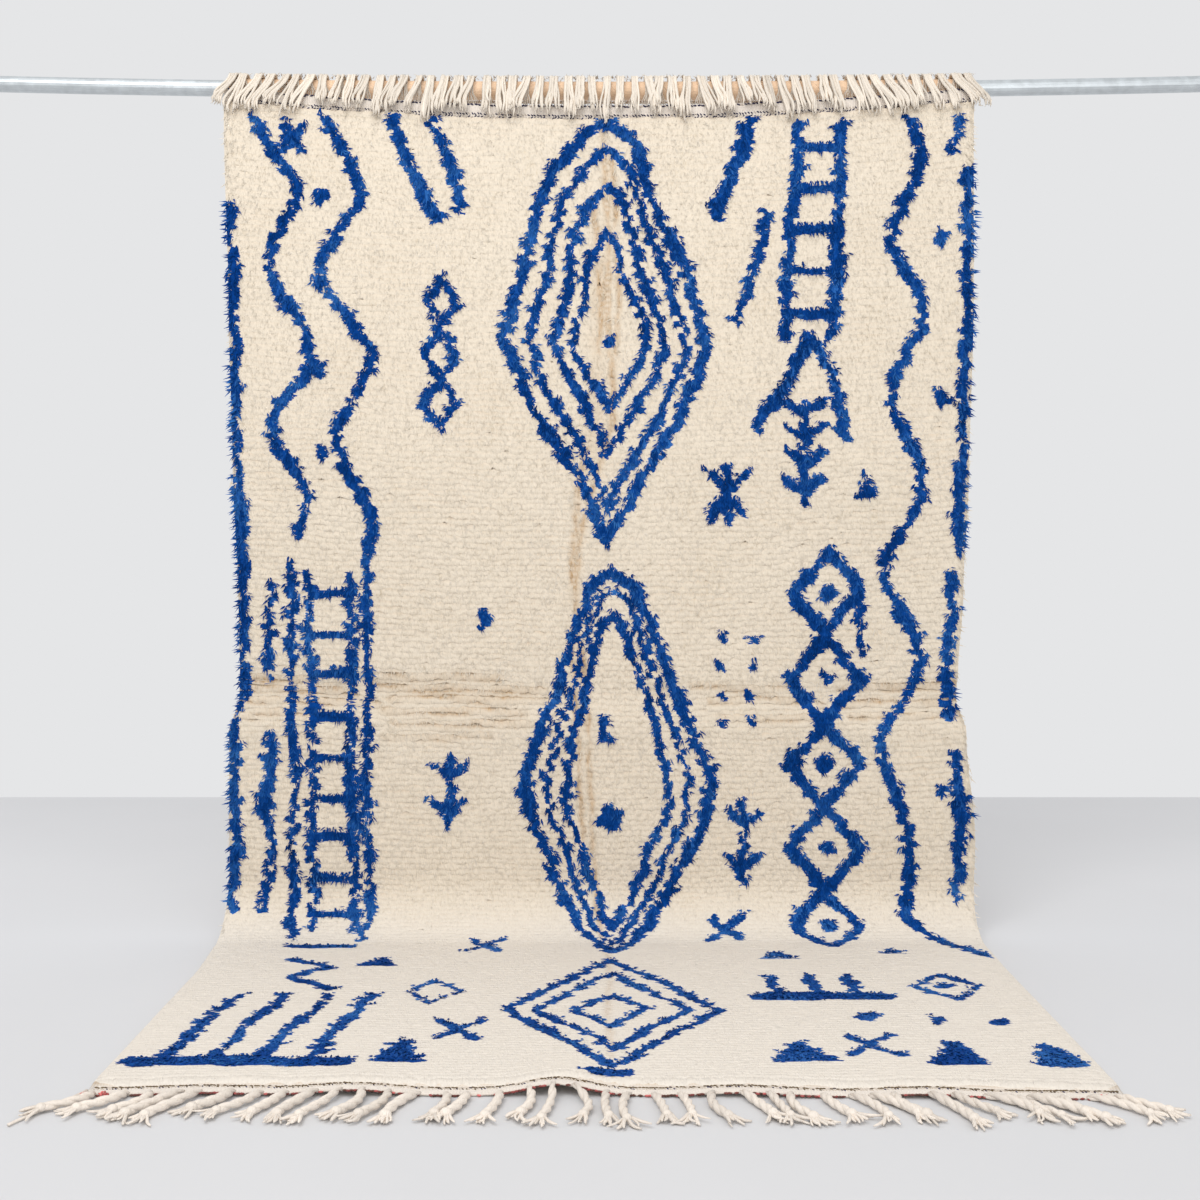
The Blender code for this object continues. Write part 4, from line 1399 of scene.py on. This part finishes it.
def make_locks(pile, colours):
    """Loose locks and hairs over the rows: ivory in bands down the cloth, and blue."""
    knots = knot_grid(pile)
    draw = np.random.default_rng(pile.seed + TONE_SEED)
    tones = knot_tones(knots, draw)
    ivory_hair = Tuft(
        hair_shape(), pile.ivory_hairs, pile.hair_wide,
        long=0.90, stray=0.45, over=0.30, root=0.0096, sparse=1.0,
    )
    blue_lock = Tuft(
        lock_shape(0.6), pile.blue_locks, pile.lock_wide,
        long=1.0, stray=0.30, over=0.85, root=0.0122, sparse=0.0,
    )
    blue_hair = Tuft(
        hair_shape(), pile.blue_hairs, pile.hair_wide * 1.35,
        long=1.0, stray=0.34, over=0.75, root=0.0122, sparse=0.4,
    )
    finish = ivory_finish(colours)
    place = (knots.along - knots.along.min()) / np.ptp(knots.along)
    band = np.minimum(place * IVORY_BANDS, IVORY_BANDS - 0.01).astype(int)
    for number in range(IVORY_BANDS):
        hairs = tufts(pile, knots, tones, ~knots.blue & (band == number), ivory_hair, draw)
        joined_piece(f"pile_ivory_{number + 1}", [hairs], finish, HAIR_SOFT)
    blues = [tufts(pile, knots, tones, knots.blue, kind, draw) for kind in (blue_lock, blue_hair)]
    joined_piece("pile_blue", blues, blue_finish(colours), ROW_SOFT)


BACK_THICK = 0.0011  # how far a knot's loop stands out behind
BACK_RAISED = 0.0009  # how far it is drawn in on the floor


def make_knot_backs(pile, colours):
    """The blue knots' loops, which show on the back of the rug."""
    knots = knot_grid(pile)
    tones = knot_tones(knots, np.random.default_rng(pile.seed + TONE_SEED))
    along = knots.along[knots.blue]
    back, out, down = cloth_frame(knots.x[knots.blue], along)
    side = np.broadcast_to(SIDEWAYS, out.shape)
    axes = [side * pile.knot_pitch * 0.50, down * pile.row_pitch * 0.40, out * BACK_THICK]
    centres = back + out * (BACK_RAISED * laid_at(along))[:, None]
    backs = placed(lump_shape(), centres, np.stack(axes, 1), tones[knots.blue])
    joined_piece("knot_backs", [backs], blue_back_finish(colours))


# Rows of stitches across the rug: below an edge, with each stitch's half sizes, and the share
# of them in pale yarn
Row = namedtuple("Row", "drop count long thick slant tone stray pale")
TOP_ROWS = [
    Row(0.0022, 190, 0.0046, 0.0019, 0.10, 0.12, 0.0008, 0.06),
    Row(0.0218, 250, 0.0036, 0.0015, 0.60, 0.16, 0.0006, 0.35),
    Row(0.0272, 250, 0.0036, 0.0015, -0.60, 0.22, 0.0007, 0.35),
]
FRONT_ROWS = [
    Row(-0.0240, 300, 0.0036, 0.0016, 0.20, 0.62, 0.0008, 0.20),
    Row(-0.0185, 330, 0.0028, 0.0012, 0.90, 0.50, 0.0006, 0.62),
]
# Its low tone makes most of these stitches brown and dark red, painted shadow under the front edge.
END_ROW = Row(0.0018, 300, 0.0046, 0.0019, 0.0, 0.16, 0.0009, 0.0)
ROW_INSET = 0.992  # share of the width that a row of stitches takes
STITCH_RAISED = 0.0004


def stitches(row, centre, heading, out, tone):
    """A row's stitches at their centres, each along its own heading."""
    across = np.cross(out, heading)
    axes = np.stack([heading * row.long, across * row.thick, out * row.thick], 1)
    return placed(ball_shape(1), centre, axes, np.clip(tone, 0.0, 1.0))


def stitch_row(row, line, draw):
    """One row of twined stitches at a drop from a line across the rug."""
    share = (np.arange(row.count) + 0.5 + draw.uniform(-0.2, 0.2, row.count)) / row.count
    middle = across_rug(share) * ROW_INSET
    along = line(middle) + row.drop + draw.normal(0.0, row.stray, row.count)
    x = share_across(middle / HALF_WIDTH / 2 + 0.5, along)
    high, _ = ground_height(x, along)
    back, out, down = cloth_frame(x, along)
    slant = row.slant + draw.normal(0.0, 0.2, row.count)
    heading = SIDEWAYS * np.cos(slant)[:, None] + down * np.sin(slant)[:, None]
    tone = row.tone + draw.normal(0.0, 0.05, row.count)
    pale = draw.uniform(0.0, 1.0, row.count) < row.pale
    centre = back + out * (high + STITCH_RAISED)[:, None]
    return stitches(row, centre, heading, out, np.where(pale, 0.97, tone))


def make_twining(colours):
    """Twined rows of yarn: dark above, brown in front."""
    draw = draws_for("twining")
    batches = [stitch_row(row, kilim_top, draw) for row in TOP_ROWS]
    batches += [stitch_row(row, woven_end, draw) for row in FRONT_ROWS]
    joined_piece("twined_rows", batches, twine_finish(colours))


ROOT_WIDE = 0.0105  # width of a tassel's root on the tube
WARP_STEPS = 11
WARP_RADIUS = 0.0011
WARP_OVERLAP = 0.003  # how far the warp ends run onto the flat-woven end
FRONT_GATHER, BACK_GATHER = 0.026, 0.040  # lengths over which they gather into roots
HEADING_STEPS = 261
HEADING_TURNS = 62.0
HEADING_RADIUS = 0.0021
HEADING_OUT = 0.0017  # how far each ply's middle lies from the cord's


def tassel_roots(fringe):
    """X of each top tassel's root on top of the tube."""
    draw = draws_for("roots")
    share = np.arange(fringe.top_count) + 0.5 + draw.uniform(-0.16, 0.16, fringe.top_count)
    return across_rug(share / fringe.top_count)


def make_warp_ends(fringe, colours):
    """Warps that gather from the flat-woven end into the tassels' roots on top of the tube."""
    draw = draws_for("warps")
    cell = 2 * HALF_WIDTH / fringe.top_count
    share = np.linspace(0.0, 1.0, WARP_STEPS)[None, :]
    spots = (np.arange(WARPS_PER_TASSEL) + 0.5) / WARPS_PER_TASSEL - 0.5
    middles = (np.arange(fringe.top_count) + 0.5) * cell - HALF_WIDTH
    foot = (middles[:, None] + spots[None, :] * cell).ravel()[:, None]
    root = (tassel_roots(fringe)[:, None] + spots[None, :] * ROOT_WIDE).ravel()[:, None]
    size = (len(foot), WARP_STEPS)
    along = (kilim_top(foot) + WARP_OVERLAP) * (1.0 - share) + WRAP_BACK * share
    in_front = ease((kilim_top(foot) - along) / FRONT_GATHER)
    gathered = np.minimum(in_front, ease((along - WRAP_BACK) / BACK_GATHER))
    x = foot + (root - foot) * gathered + draw.normal(0.0, 0.0006, size)
    height = 0.0014 + draw.uniform(0.0, 0.0012, (len(foot), 1)) + 0.0012 * gathered
    radii = np.full(size, WARP_RADIUS) * draw.uniform(0.8, 1.25, (len(foot), 1))
    tone = draw.uniform(0.25, 0.8, len(foot))
    warps = swept(tube_shape(4, WARP_STEPS - 1), cloth_point(x, along, height), radii, tone)
    joined_piece("warp_ends", [warps, *back_heading()], cord_finish("warp yarn", colours.warp))


def back_heading():
    """A two-ply cord across the warp ends behind the tube."""
    half = HALF_WIDTH * 0.998
    x = np.linspace(-half, half, HEADING_STEPS)[None, :]
    route = cloth_point(x, np.full(x.shape, WRAP_BACK + 0.002), np.full(x.shape, 0.0036))
    shape = tube_shape(5, HEADING_STEPS - 1)
    radii = np.full(x.shape, HEADING_RADIUS)
    plies = [plied(route, HEADING_OUT, HEADING_TURNS, ply, 2) for ply in range(2)]
    return [swept(shape, one, radii, np.array([0.5 + 0.2 * n]), UPWARDS) for n, one in enumerate(plies)]


# A top tassel's way down in front of the rod's axis and above it
Turn = namedtuple("Turn", "share reach height")
TOP_ROUTE = [
    Turn(0.00, -0.0210, 0.0160),
    Turn(0.12, -0.0120, 0.0245),
    Turn(0.24, 0.0020, 0.0285),
    Turn(0.36, 0.0160, 0.0245),
    Turn(0.48, 0.0265, 0.0120),
    Turn(0.62, 0.0325, -0.0080),
    Turn(0.80, 0.0365, -0.0330),
    Turn(1.00, 0.0455, -0.0600),
]
TOP_HANGS = 0.0120  # height over the rod's axis from which a tassel's own length counts
TOP_FALLS = 0.0240  # height from which it swings aside
TOP_YARNS = 7
TOP_STEPS = 12
TOP_RADIUS = 0.0029


def tassel_paths(fringe, roots, tassel, yarn, draw):
    """Each yarn's way over the tube and down, with a length, swing and wave of its own."""
    each = (len(roots), 1)
    share = np.linspace(0.0, 1.0, TOP_STEPS)
    table = np.array(TOP_ROUTE)
    reach = np.interp(share, table[:, 0], table[:, 1])[None, :]
    height = np.interp(share, table[:, 0], table[:, 2])[None, :]
    fallen = ease((TOP_FALLS - height) / (TOP_FALLS + fringe.top_fall))
    own = (draw.normal(0.0, 0.14, fringe.top_count) + 0.10 * uneven(np.arange(fringe.top_count)))[tassel]
    longer = 1.0 + own[:, None] + draw.normal(0.0, 0.09, each)
    drop = (height - TOP_HANGS) * longer * fringe.top_fall / -table[-1, 2]
    height = np.where(height < TOP_HANGS, TOP_HANGS + drop, height)
    swing = fringe.top_lean * roots / HALF_WIDTH + draw.normal(0.0, 0.007, fringe.top_count)[tassel]
    fan = yarn * 0.0020 + draw.normal(0.0, 0.0012, len(roots))
    splay = yarn * draw.uniform(-0.0006, 0.0022, len(roots)) + draw.normal(0.0, 0.0030, len(roots))
    phase = draw.uniform(0.0, 6.0, each)
    wave = draw.uniform(0.0010, 0.0035, each) * np.sin(share[None, :] * 12.0 + phase)
    x = roots[:, None] + fan[:, None] + (swing + splay)[:, None] * fallen + wave * fallen
    depth = reach + draw.normal(0.0, 0.0010, each) + 0.0012 * np.abs(yarn)[:, None] * (1 - fallen)
    z = ROD_Z + rod_rise(roots)[:, None] + height
    return np.stack([x, ROD_Y - depth, z], -1)


def make_top_tassels(fringe, colours):
    """Tassels of loose yarns that come over the tube and fall in front of the flat end."""
    draw = draws_for("tassels")
    roots = np.repeat(tassel_roots(fringe), TOP_YARNS)
    tassel = np.repeat(np.arange(fringe.top_count), TOP_YARNS)
    yarn = np.tile(np.arange(TOP_YARNS), fringe.top_count) - (TOP_YARNS - 1) / 2
    paths = tassel_paths(fringe, roots, tassel, yarn, draw)
    share = np.linspace(0.0, 1.0, TOP_STEPS)
    taper = np.interp(share, [0.0, 0.06, 0.90, 1.0], [0.7, 1.0, 0.95, 0.50])[None, :]
    radii = TOP_RADIUS * taper * draw.uniform(0.75, 1.30, (len(roots), 1))
    tone = np.clip(draw.normal(0.60, 0.20, len(roots)), 0.0, 1.0)
    batches = [
        swept(tube_shape(5, TOP_STEPS - 1), paths, radii, tone),
        frayed(paths[:, -1], paths[:, -1] - paths[:, -2], tone, draw),
        stray_loops(np.repeat(roots, 2), draw),
    ]
    piece = joined_piece("top_tassels", batches, cord_finish("tassel yarn", colours.warp))
    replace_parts(piece, "fringe_top")


def stray_loops(roots, draw):
    """Short fuzzy ends that stand up along the top of the tube."""
    count = len(roots)
    x = roots + draw.uniform(-0.015, 0.015, count)
    back, out, down = cloth_frame(x, draw.uniform(-0.012, 0.010, count))
    start = back + out * 0.0055
    side = SIDEWAYS * draw.normal(0.0, 0.8, count)[:, None]
    lean = unit(down * draw.normal(0.2, 0.6, count)[:, None] + side)
    long = draw.uniform(0.006, 0.014, count)
    wide = np.full(count, 0.0013)
    rise = np.full(count, 0.4)
    droop = draw.uniform(1.3, 2.0, count)
    tone = draw.uniform(0.5, 0.9, count)
    return bent_locks(lock_shape(0.8), start, out, lean, long, wide, rise, droop, tone)


FRAY_HAIRS = 2
FRAY_LONG = 0.010
FRAY_WIDE = 0.0016
FRAY_SPREAD = 0.40
FRAY_INSET = 0.003  # how far up its yarn a frayed hair starts


def frayed(ends, heading, tone, draw):
    """Loose hairs at the end of each yarn."""
    picked = np.repeat(np.arange(len(ends)), FRAY_HAIRS)
    count = len(picked)
    way = unit(unit(heading)[picked] + draw.normal(0.0, FRAY_SPREAD, (count, 3)))
    other = unit(np.cross(way, draw.normal(0.0, 1.0, (count, 3))))
    start = ends[picked] - way * FRAY_INSET
    droop = draw.uniform(0.3, 0.9, count)
    long = FRAY_LONG * draw.uniform(0.6, 1.2, count)
    wide = np.full(count, FRAY_WIDE)
    rise = np.full(count, 0.05)
    return bent_locks(lock_shape(0.8), start, way, other, long, wide, rise, droop, tone[picked])


FRONT_STEPS = 25
FRONT_KNOT = 0.80  # share of a cord's route at which its knot sits
FRONT_TURNS = 2.0
FRONT_PLY_OUT = 0.0023  # how far each ply's middle lies from the cord's
FRONT_PLY_THICK = 0.78  # a ply's radius, as a share of the cord's
KNOT_FLAT = 0.85


def front_routes(fringe, draw):
    """The centre line of each front cord, from under the front edge out over the floor."""
    index = np.arange(fringe.front_count)
    each = (fringe.front_count, 1)
    share = (index + 0.5 + draw.uniform(-0.2, 0.2, fringe.front_count)) / fringe.front_count
    x = share_across(share, np.array(WOVEN_END))
    edge = cloth_point(x, woven_end(x) - 0.003, np.full(x.shape, 0.0030))
    long = fringe.front_long + 0.012 * uneven(index) + draw.normal(0.0, 0.005, fringe.front_count)
    sideways = np.sign(x) * np.abs(x / HALF_WIDTH) ** 0.7
    swing = fringe.front_lean * sideways + 0.015 * uneven(index + 7)
    cut = np.linspace(0.0, 1.0, FRONT_STEPS)[None, :]
    bow = 0.013 * draw.normal(0.0, 1.0, each) * np.sin(cut * math.pi)
    px = x[:, None] + swing[:, None] * cut**1.3 + bow
    py = edge[:, 1:2] - np.sqrt(np.clip(long**2 - swing**2, 0.002, None))[:, None] * cut
    rest = fringe.front_thick * 1.2 + 0.001 * draw.uniform(0.0, 1.0, each)
    pz = edge[:, 2:3] + (rest - edge[:, 2:3]) * ease(cut / 0.35)
    pz = pz + 0.002 * hump(cut - 0.16, 0.10)
    return np.stack([px, py, pz], -1)


def front_plies(routes, thick, tone):
    """The two plies of each front cord, thinner where they come out from under the edge."""
    cut = np.linspace(0.0, 1.0, FRONT_STEPS)[: routes.shape[1]]
    slim = np.interp(cut, [0.0, 0.06, 0.20, 0.7, 0.8], [0.42, 0.55, 1.0, 1.0, 0.85])[None, :]
    shape = tube_shape(6, routes.shape[1] - 1)
    radii = thick * slim * FRONT_PLY_THICK
    plies = [plied(routes, FRONT_PLY_OUT, FRONT_TURNS, ply, 2) for ply in range(2)]
    return [swept(shape, ply, radii, tone, UPWARDS) for ply in plies]


def make_front_fringe(fringe, colours):
    """Thick two-ply cords with a knot and frayed ends, lying on the floor."""
    draw = draws_for("cords")
    routes = front_routes(fringe, draw)[:, : int(FRONT_STEPS * FRONT_KNOT)]
    each = (len(routes), 1)
    thick = fringe.front_thick * draw.uniform(0.85, 1.15, each)
    tone = np.clip(draw.normal(0.6, 0.14, len(routes)), 0.0, 1.0)
    batches = front_plies(routes, thick, tone)
    knot = routes[:, -1]
    heading = unit(routes[:, -1] - routes[:, -3])
    side = unit(np.cross(heading, UPWARDS))
    size = thick * draw.uniform(1.10, 1.30, each)
    up = np.cross(side, heading) * size * KNOT_FLAT
    knot[:, 2] = np.maximum(knot[:, 2], size[:, 0] * KNOT_FLAT)
    axes = np.stack([side * size, up, heading * size * 1.1], 1)
    batches.append(placed(ball_shape(2), knot, axes, tone))
    batches.append(loose_ends(knot, heading, side, tone, draw))
    batches.append(corner_cord())
    piece = joined_piece("front_fringe", batches, cord_finish("floor cord", colours.cord))
    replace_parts(piece, "fringe_front")


LOOSE_ENDS = 8  # strands that come out of each front cord's knot
LOOSE_STEPS = 7
LOOSE_RADIUS = 0.0027


def loose_ends(knots, heading, side, tone, draw):
    """Strands that splay from each knot over the floor."""
    picked = np.repeat(np.arange(len(knots)), LOOSE_ENDS)
    count = len(picked)
    fan = np.tile(np.linspace(-1.0, 1.0, LOOSE_ENDS), len(knots)) + draw.normal(0.0, 0.25, count)
    side = side[picked][:, None]
    cut = np.linspace(0.0, 1.0, LOOSE_STEPS)[None, :, None]
    long = draw.uniform(0.018, 0.034, count)[:, None, None]
    way = unit(heading[picked][:, None] * [1.0, 1.0, 0.0] + side * (0.62 * fan)[:, None, None])
    curl = side * (0.25 * draw.normal(0.0, 1.0, count))[:, None, None] * cut**2
    paths = knots[picked][:, None] + (way * cut + curl * cut) * long
    paths = paths + side * (0.0040 * fan)[:, None, None]
    low = 0.0026 + 0.006 * draw.uniform(0.0, 1.0, (count, 1))
    landed = ease(cut[..., 0] / 0.7)
    paths[..., 2] = paths[..., 2] * (1 - landed) + low * landed
    taper = np.interp(cut[0, :, 0], [0.0, 0.7, 1.0], [1.0, 0.95, 0.5])[None, :]
    radii = LOOSE_RADIUS * taper * draw.uniform(0.7, 1.25, (count, 1))
    spun = np.clip(tone[picked] + draw.normal(0.0, 0.12, count), 0.0, 1.0)
    return swept(tube_shape(5, LOOSE_STEPS - 1), paths, radii, spun, UPWARDS)


# The one long thin cord from the left front corner, from the rod's axis
CORNER_ROUTE = [
    (-0.786, -0.975, 0.006), (-0.800, -1.000, 0.004), (-0.820, -1.030, 0.003),
    (-0.838, -1.065, 0.003), (-0.850, -1.090, 0.003), (-0.856, -1.105, 0.003),
]
CORNER_STEPS = 21
CORNER_RADIUS = 0.0024


def corner_cord():
    """A thin cord along its given route."""
    route = np.array(CORNER_ROUTE) + [0.0, ROD_Y, 0.0]
    share = np.linspace(0.0, len(route) - 1.0, CORNER_STEPS)
    points = np.stack([np.interp(share, np.arange(len(route)), line) for line in route.T], -1)
    radii = np.full((1, CORNER_STEPS), CORNER_RADIUS)
    return swept(tube_shape(5, CORNER_STEPS - 1), points[None], radii, np.array([0.7]), UPWARDS)


END_YARN_SHOWS = 0.80  # share of the front edge along which its yarn comes out
END_YARN_HEIGHT = 0.0015
CORNER_SPOTS = [-0.786, -0.758, 0.765, 0.793]  # X of the tangles at the two front corners
CORNER_TURNS = 9  # turns of yarn in each tangle
TURN_LONG = 0.0048
TURN_THICK = 0.0017


def make_end_yarn(colours):
    """Pink yarn that shows here and there under the front edge, mostly darkened to brown and dark red as
    painted shadow, and its tangles.
    """
    draw = draws_for("end yarn")
    left, right = edge_at(np.array(WOVEN_END))
    x = np.linspace(left + 0.01, right - 0.01, END_ROW.count)
    shows = waver(x * 6.0, x * 0.0, 1.0, 2.0) + draw.normal(0.0, 0.25, len(x)) > 0.5 - END_YARN_SHOWS
    x = x[shows]
    along = woven_end(x) + draw.normal(END_ROW.drop, END_ROW.stray, len(x))
    centre = cloth_point(x, along, np.full(x.shape, END_YARN_HEIGHT))
    slant = draw.normal(END_ROW.slant, 0.25, len(x))
    heading = np.stack([np.cos(slant), np.sin(slant), np.zeros(len(x))], -1)
    upright = np.broadcast_to(UPWARDS, heading.shape)
    tone = draw.normal(END_ROW.tone, 0.25, len(x))
    batches = [stitches(END_ROW, centre, heading, upright, tone), corner_tangles(draw)]
    joined_piece("end_yarn", batches, pink_finish(colours))


def corner_tangles(draw):
    """Tangles of pink yarn at the two front corners."""
    spots = np.repeat(CORNER_SPOTS, CORNER_TURNS)
    x = spots + draw.normal(0.0, 0.0032, len(spots))
    high = draw.uniform(0.0025, 0.0065, len(x))
    centre = cloth_point(x, woven_end(x) + draw.normal(0.001, 0.0022, len(x)), high)
    heading = unit(draw.normal(0.0, 1.0, (len(x), 3)) * [1.0, 1.0, 0.25])
    side = unit(np.cross(heading, draw.normal(0.0, 1.0, (len(x), 3))))
    axes = [heading * TURN_LONG, side * TURN_THICK, np.cross(heading, side) * TURN_THICK]
    return placed(ball_shape(1), centre, np.stack(axes, 1), draw.uniform(0.4, 1.0, len(x)))


# ---------------------------------------------------------------- stage

FLOOR_FAR = 1.77  # from the rod back to the floor's far edge
FLOOR_SIDE = 9.0
FLOOR_GAP = 0.0005  # under the cloth, so that no two faces meet
SENSOR_WIDTH = 36.0  # millimetres


def make_floor(stage):
    """A pale floor that ends some way behind the rod."""
    bm = bmesh.new()
    bmesh.ops.create_grid(bm, x_segments=8, y_segments=8, size=FLOOR_SIDE)
    bmesh.ops.translate(bm, verts=bm.verts, vec=(0.0, ROD_Y + FLOOR_FAR - FLOOR_SIDE, -FLOOR_GAP))
    mesh = bpy.data.meshes.new("floor")
    bm.to_mesh(mesh)
    bm.free()
    mesh.materials.append(floor_finish(stage))
    floor = bpy.data.objects.new("floor", mesh)
    bpy.context.scene.collection.objects.link(floor)


Lamp = namedtuple("Lamp", "name x y z size power")
LAMPS = [
    Lamp("key", -0.9, -3.2, 3.8, 2.6, 95.0),
    Lamp("fill", 1.4, -4.4, 2.2, 2.6, 30.0),
]
LAMP_AIM = (0.0, 0.0, 0.9)


def make_lamps():
    """Large soft lamps round the rod, aimed at the rug."""
    for lamp in LAMPS:
        light = bpy.data.lights.new(lamp.name, "AREA")
        light.size = lamp.size
        light.energy = lamp.power
        ob = bpy.data.objects.new(lamp.name, light)
        ob.location = (lamp.x, ROD_Y + lamp.y, lamp.z)
        aim = np.array([LAMP_AIM[0] - lamp.x, LAMP_AIM[1] - lamp.y, LAMP_AIM[2] - lamp.z])
        flat = math.hypot(aim[0], aim[1])
        ob.rotation_euler = (math.atan2(flat, -aim[2]), 0.0, math.atan2(-aim[0], aim[1]))
        bpy.context.scene.collection.objects.link(ob)


def make_air(stage):
    """Even pale surroundings."""
    world = bpy.data.worlds.new("studio air")
    world.use_nodes = True
    air = world.node_tree.nodes["Background"]
    air.inputs["Color"].default_value = (*stage.air, 1.0)
    air.inputs["Strength"].default_value = 1.0
    bpy.context.scene.world = world


def make_camera(stage):
    """Camera in front of the rug, a little above its middle."""
    camera = bpy.data.cameras.new("camera")
    camera.lens = stage.lens
    camera.sensor_width = SENSOR_WIDTH
    ob = bpy.data.objects.new("camera", camera)
    ob.location = (0.0, ROD_Y - stage.distance, stage.height)
    ob.rotation_euler = (math.pi / 2 - stage.pitch, 0.0, 0.0)
    bpy.context.scene.collection.objects.link(ob)
    bpy.context.scene.camera = ob


# ---------------------------------------------------------------- operators and panel


class RUG_OT_stage(bpy.types.Operator):
    """Set up the pale floor, the soft light and the camera"""

    bl_idname = "rug.stage"
    bl_label = "Set the stage"

    def execute(self, context):
        stage = context.scene.rug_stage
        make_camera(stage)
        make_floor(stage)
        make_lamps()
        make_air(stage)
        context.scene.view_settings.view_transform = "Standard"
        return {"FINISHED"}


class RUG_OT_rod(bpy.types.Operator):
    """Finish the steel rod and the card tube on it"""

    bl_idname = "rug.rod"
    bl_label = "Finish rod and tube"

    def execute(self, context):
        colours = context.scene.rug_colours
        for node, material in (("rod", steel_finish(colours)), ("tube", card_finish(colours))):
            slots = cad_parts[node].material_slots
            if not slots:
                raise RuntimeError(f"{node} has no material slot")
            for slot in slots:
                slot.material = material
        return {"FINISHED"}


class RUG_OT_ground(bpy.types.Operator):
    """Weave the ground of the rug, with its two flat ends"""

    bl_idname = "rug.ground"
    bl_label = "Weave the ground"

    def execute(self, context):
        make_ground(context.scene.rug_colours)
        return {"FINISHED"}


class RUG_OT_pile(bpy.types.Operator):
    """Knot the rows of pile, the loose locks over them and the loops on the back"""

    bl_idname = "rug.pile"
    bl_label = "Knot the pile"

    def execute(self, context):
        settings = context.scene.rug_pile, context.scene.rug_colours
        make_pile_rows(*settings)
        make_locks(*settings)
        make_knot_backs(*settings)
        return {"FINISHED"}


class RUG_OT_twining(bpy.types.Operator):
    """Twine the dark rows above and the brown ones in front"""

    bl_idname = "rug.twining"
    bl_label = "Twine the rows"

    def execute(self, context):
        make_twining(context.scene.rug_colours)
        return {"FINISHED"}


class RUG_OT_tassels(bpy.types.Operator):
    """Gather the warp ends over the tube and hang the top tassels"""

    bl_idname = "rug.tassels"
    bl_label = "Hang the top tassels"

    def execute(self, context):
        settings = context.scene.rug_fringe, context.scene.rug_colours
        make_warp_ends(*settings)
        make_top_tassels(*settings)
        return {"FINISHED"}


class RUG_OT_cords(bpy.types.Operator):
    """Ply the cords on the floor"""

    bl_idname = "rug.cords"
    bl_label = "Ply the front cords"

    def execute(self, context):
        make_front_fringe(context.scene.rug_fringe, context.scene.rug_colours)
        return {"FINISHED"}


class RUG_OT_end_yarn(bpy.types.Operator):
    """Lay the pink yarn along the front edge, mostly darkened there as painted shadow"""

    bl_idname = "rug.end_yarn"
    bl_label = "Lay the end yarn"

    def execute(self, context):
        make_end_yarn(context.scene.rug_colours)
        return {"FINISHED"}


class RUG_OT_sheet(bpy.types.Operator):
    """Leaves the ground and all that is fixed to it as they are; it joins nothing"""

    bl_idname = "rug.sheet"
    bl_label = "Join as one sheet"

    def execute(self, context):
        return {"FINISHED"}


class RUG_PT_panel(bpy.types.Panel):
    """Lists the steps in the sidebar"""

    bl_idname = "RUG_PT_panel"
    bl_label = "Knotted rug"
    bl_space_type = "VIEW_3D"
    bl_region_type = "UI"
    bl_category = "Rug"

    def draw(self, context):
        for operator in OPERATORS:
            self.layout.operator(operator.bl_idname)


GROUPS = {"rug_pile": RugPile, "rug_fringe": RugFringe, "rug_colours": RugColours, "rug_stage": RugStage}
OPERATORS = (
    RUG_OT_stage, RUG_OT_rod, RUG_OT_ground, RUG_OT_pile, RUG_OT_twining, RUG_OT_tassels, RUG_OT_cords,
    RUG_OT_end_yarn, RUG_OT_sheet,
)
CLASSES = (*GROUPS.values(), *OPERATORS, RUG_PT_panel)


def register():
    for cls in CLASSES:
        bpy.utils.register_class(cls)
    for name, group in GROUPS.items():
        setattr(bpy.types.Scene, name, PointerProperty(type=group))


def unregister():
    for name in GROUPS:
        delattr(bpy.types.Scene, name)
    for cls in reversed(CLASSES):
        bpy.utils.unregister_class(cls)


def main():
    register()
    bpy.ops.rug.stage()
    bpy.ops.rug.rod()
    bpy.ops.rug.ground()
    bpy.ops.rug.pile()
    bpy.ops.rug.twining()
    bpy.ops.rug.tassels()
    bpy.ops.rug.cords()
    bpy.ops.rug.end_yarn()
    bpy.ops.rug.sheet()


if __name__ == "__main__":
    main()
